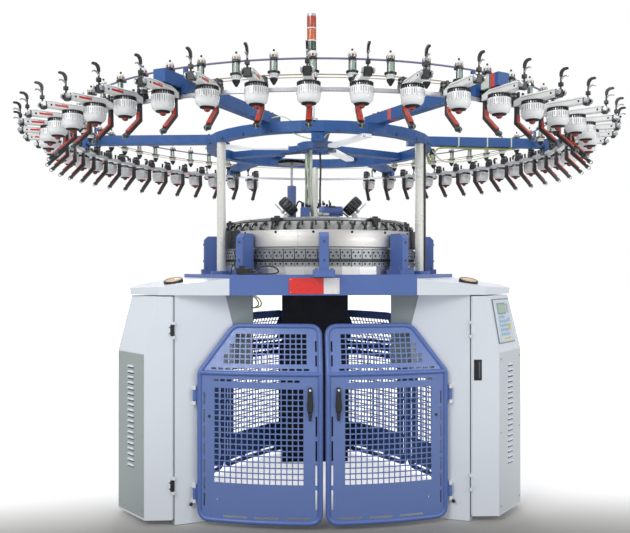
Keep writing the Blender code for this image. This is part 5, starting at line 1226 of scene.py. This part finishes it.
wires = Shape()
for k in range(STRANDS):
    strand = []
    for i in range(9):
        x, y = polar(STRAND_R, k * 360.0 / STRANDS + i * 16.0)
        strand.append((STRAND_AT[0] + x, STRAND_AT[1] + y, STRAND_TOP - i * 0.046))
    wires.add(cable(strand, 0.0052), "cable_white" if k % 2 else "cable_green")
drop = [(0.01, 0.01, 2.102), (0.014, 0.012, 2.0), (0.01, 0.008, 1.85), (0.013, 0.0, 1.76),
    (0.02, -0.03, 1.735)]
wires.add(cable(drop, 0.0062), "cable_black")
low_bow = [(-0.164, -0.65, 2.101), (-0.11, -0.658, 2.078), (-0.031, -0.664, 2.06), (0.0, -0.662, 2.076)]
wires.add(cable(low_bow + [(0.024, -0.652, 2.101)], 0.0036), "cable_white")
right_bow = [(0.276, -0.6, 2.16), (0.296, -0.612, 2.19), (0.332, -0.602, 2.2), (0.36, -0.585, 2.162)]
left_bow = [(-0.3, -0.59, 2.16), (-0.285, -0.61, 2.185), (-0.22, -0.64, 2.19), (-0.17, -0.655, 2.163)]
for bow in (right_bow, left_bow):
    wires.add(cable(bow, 0.0034), "cable_white")
for k, (key, drop) in enumerate((("cable_yellow", 0.0), ("cable_green", 0.012), ("cable_white", 0.02))):
    y = 0.02 + k * 0.014
    knots = [(0.69, y - 0.01, 2.1), (0.715, y, 2.06 - drop), (0.745, y + 0.004, 2.12),
        (0.8, y + 0.03, 2.15)]
    knots += [(0.95, y + 0.056, 2.1525), (1.12, y + 0.07, 2.1525), (1.28, y + 0.084, 2.1525)]
    wires.add(cable(knots, 0.0046), key)
sag = [(0.72, 0.0, 2.12), (0.79, -0.02, 2.05), (0.94, -0.01, 2.056), (1.12, 0.03, 2.1),
    (1.26, 0.09, 2.15)]
wires.add(cable(sag, 0.004), "cable_white")
wires.add(block((0.028, 0.052, 0.036), 0.003), "black", at(*BEAM_BOX_AT, 2.116))
wires.add(block((0.022, 0.044, 0.02), 0.003), "cable_white", at(*BEAM_BOX_AT, 2.088))
for r in (0.9, 1.09, 1.25):
    wires.add(block((0.008, 0.064, 0.062), 0.001), "cable_white", turn(4.5) @ at(r, 0.0, ARM_MIDDLE_Z))
wires.piece("overhead_cables", slot="cable_sleeve")


# Floor, world and lamps

FLOOR_HALF = 40.0
FLOOR_DROP = 0.0005
# painted shadow: the floor darkens from its pale colour to a grey in a soft area before the machine, placed
# and sized on the next lines
FLOOR_SHADOW = (0.24, 0.236, 0.226)
FLOOR_FAR = (0.86, 0.86, 0.86)
SHADOW_POOL_Y, SHADOW_POOL_ACROSS, SHADOW_POOL_DEEP = -1.1, 4.6, 1.2
WORLD_LEVEL = 0.48


def ramp(tree, value, start, end, low, high):
    limits = (("From Min", start), ("From Max", end), ("To Min", low), ("To Max", high))
    node = add_node(tree, "MapRange", [("Value", value)], limits)
    node.interpolation_type = "SMOOTHSTEP"
    return node.outputs["Result"]


def combine(tree, operation, first, second):
    node = add_node(tree, "Math", [(0, first), (1, second)])
    node.operation = operation
    return node.outputs[0]


def make_floor():
    """A pale floor with a painted shadow, a soft darker area before the machine, and painted light under the
    machine.
    """
    mesh = bpy.data.meshes.new("floor")
    corners = [(x * FLOOR_HALF, y * FLOOR_HALF, 0.0) for x, y in ((-1, -1), (1, -1), (1, 1), (-1, 1))]
    mesh.from_pydata(corners, [], [(0, 1, 2, 3)])
    floor = bpy.data.objects.new("floor", mesh)
    floor.location.z = -FLOOR_DROP
    bpy.context.scene.collection.objects.link(floor)
    mat, tree, shader = new_material("pale_floor")
    shader.inputs["Roughness"].default_value = 0.65
    shader.inputs["Emission Color"].default_value = (1.0, 1.0, 1.0, 1.0)
    place = tree.nodes.new("ShaderNodeTexCoord").outputs["Object"]
    # painted shadow: a soft darker area on the floor before the machine
    shape = ((1, (1.0 / SHADOW_POOL_ACROSS, 1.0 / SHADOW_POOL_DEEP, 0.0)), (2, (0.0, -SHADOW_POOL_Y / SHADOW_POOL_DEEP, 0.0)))
    shadow_pool = add_node(tree, "VectorMath", [(0, place)], shape)
    shadow_pool.operation = "MULTIPLY_ADD"
    outside_shadow = ramp(tree, length_of(tree, shadow_pool.outputs["Vector"]), 0.3, 1.08, 0.0, 1.0)
    link(tree, blend_colours(tree, outside_shadow, FLOOR_SHADOW, FLOOR_FAR), shader.inputs["Base Color"])
    reach = length_of(tree, place)
    backdrop_glow_and_painted_light = ramp(tree, reach, 2.5, 8.0, 0.26, 0.9)
    # painted light: under the machine the floor glows more for the camera, paling the machine's own shadow
    # there
    backdrop_glow_and_painted_light = combine(tree, "MAXIMUM", backdrop_glow_and_painted_light, ramp(tree, reach, 0.75, 1.15, 0.62, 0.26))
    seen = tree.nodes.new("ShaderNodeLightPath").outputs["Is Camera Ray"]
    shown = combine(tree, "MULTIPLY", outside_shadow, combine(tree, "MULTIPLY", backdrop_glow_and_painted_light, seen))
    link(tree, shown, shader.inputs["Emission Strength"])
    mesh.materials.append(mat)


def make_world():
    """White where it is seen or mirrored, and dimmer as light on the machine."""
    world = bpy.data.worlds.new("studio")
    bpy.context.scene.world = world
    world.use_nodes = True
    tree = world.node_tree
    background = tree.nodes["Background"]
    background.inputs["Color"].default_value = (1.0, 1.0, 1.0, 1.0)
    path = tree.nodes.new("ShaderNodeLightPath").outputs
    seen = combine(tree, "MAXIMUM", path["Is Camera Ray"], path["Is Glossy Ray"])
    seen = combine(tree, "MAXIMUM", seen, path["Is Transmission Ray"])
    level = add_node(tree, "MapRange", [("Value", seen)], (("To Min", WORLD_LEVEL), ("To Max", 1.0)))
    link(tree, level.outputs["Result"], background.inputs["Strength"])


def area_light(name, place, target, size, power):
    data = bpy.data.lights.new(name, "AREA")
    data.shape = "RECTANGLE"
    data.size, data.size_y = size
    data.energy = power
    lamp_obj = bpy.data.objects.new(name, data)
    lamp_obj.location = place
    lamp_obj.rotation_euler = (Vector(target) - Vector(place)).to_track_quat("-Z", "Y").to_euler()
    bpy.context.scene.collection.objects.link(lamp_obj)


make_floor()
make_world()
area_light("key", (-3.6, -5.0, 5.2), (0.0, 0.0, 1.2), (3.2, 3.2), 232.0)
area_light("fill", (4.6, -4.2, 3.0), (0.0, 0.0, 1.2), (3.0, 3.0), 104.0)
area_light("top", (0.0, 0.5, 6.5), (0.0, 0.0, 1.5), (4.0, 4.0), 118.0)
area_light("back", (0.0, 5.5, 3.5), (0.0, 0.0, 1.6), (4.0, 2.5), 102.0)

bpy.context.scene.view_settings.view_transform = "Standard"
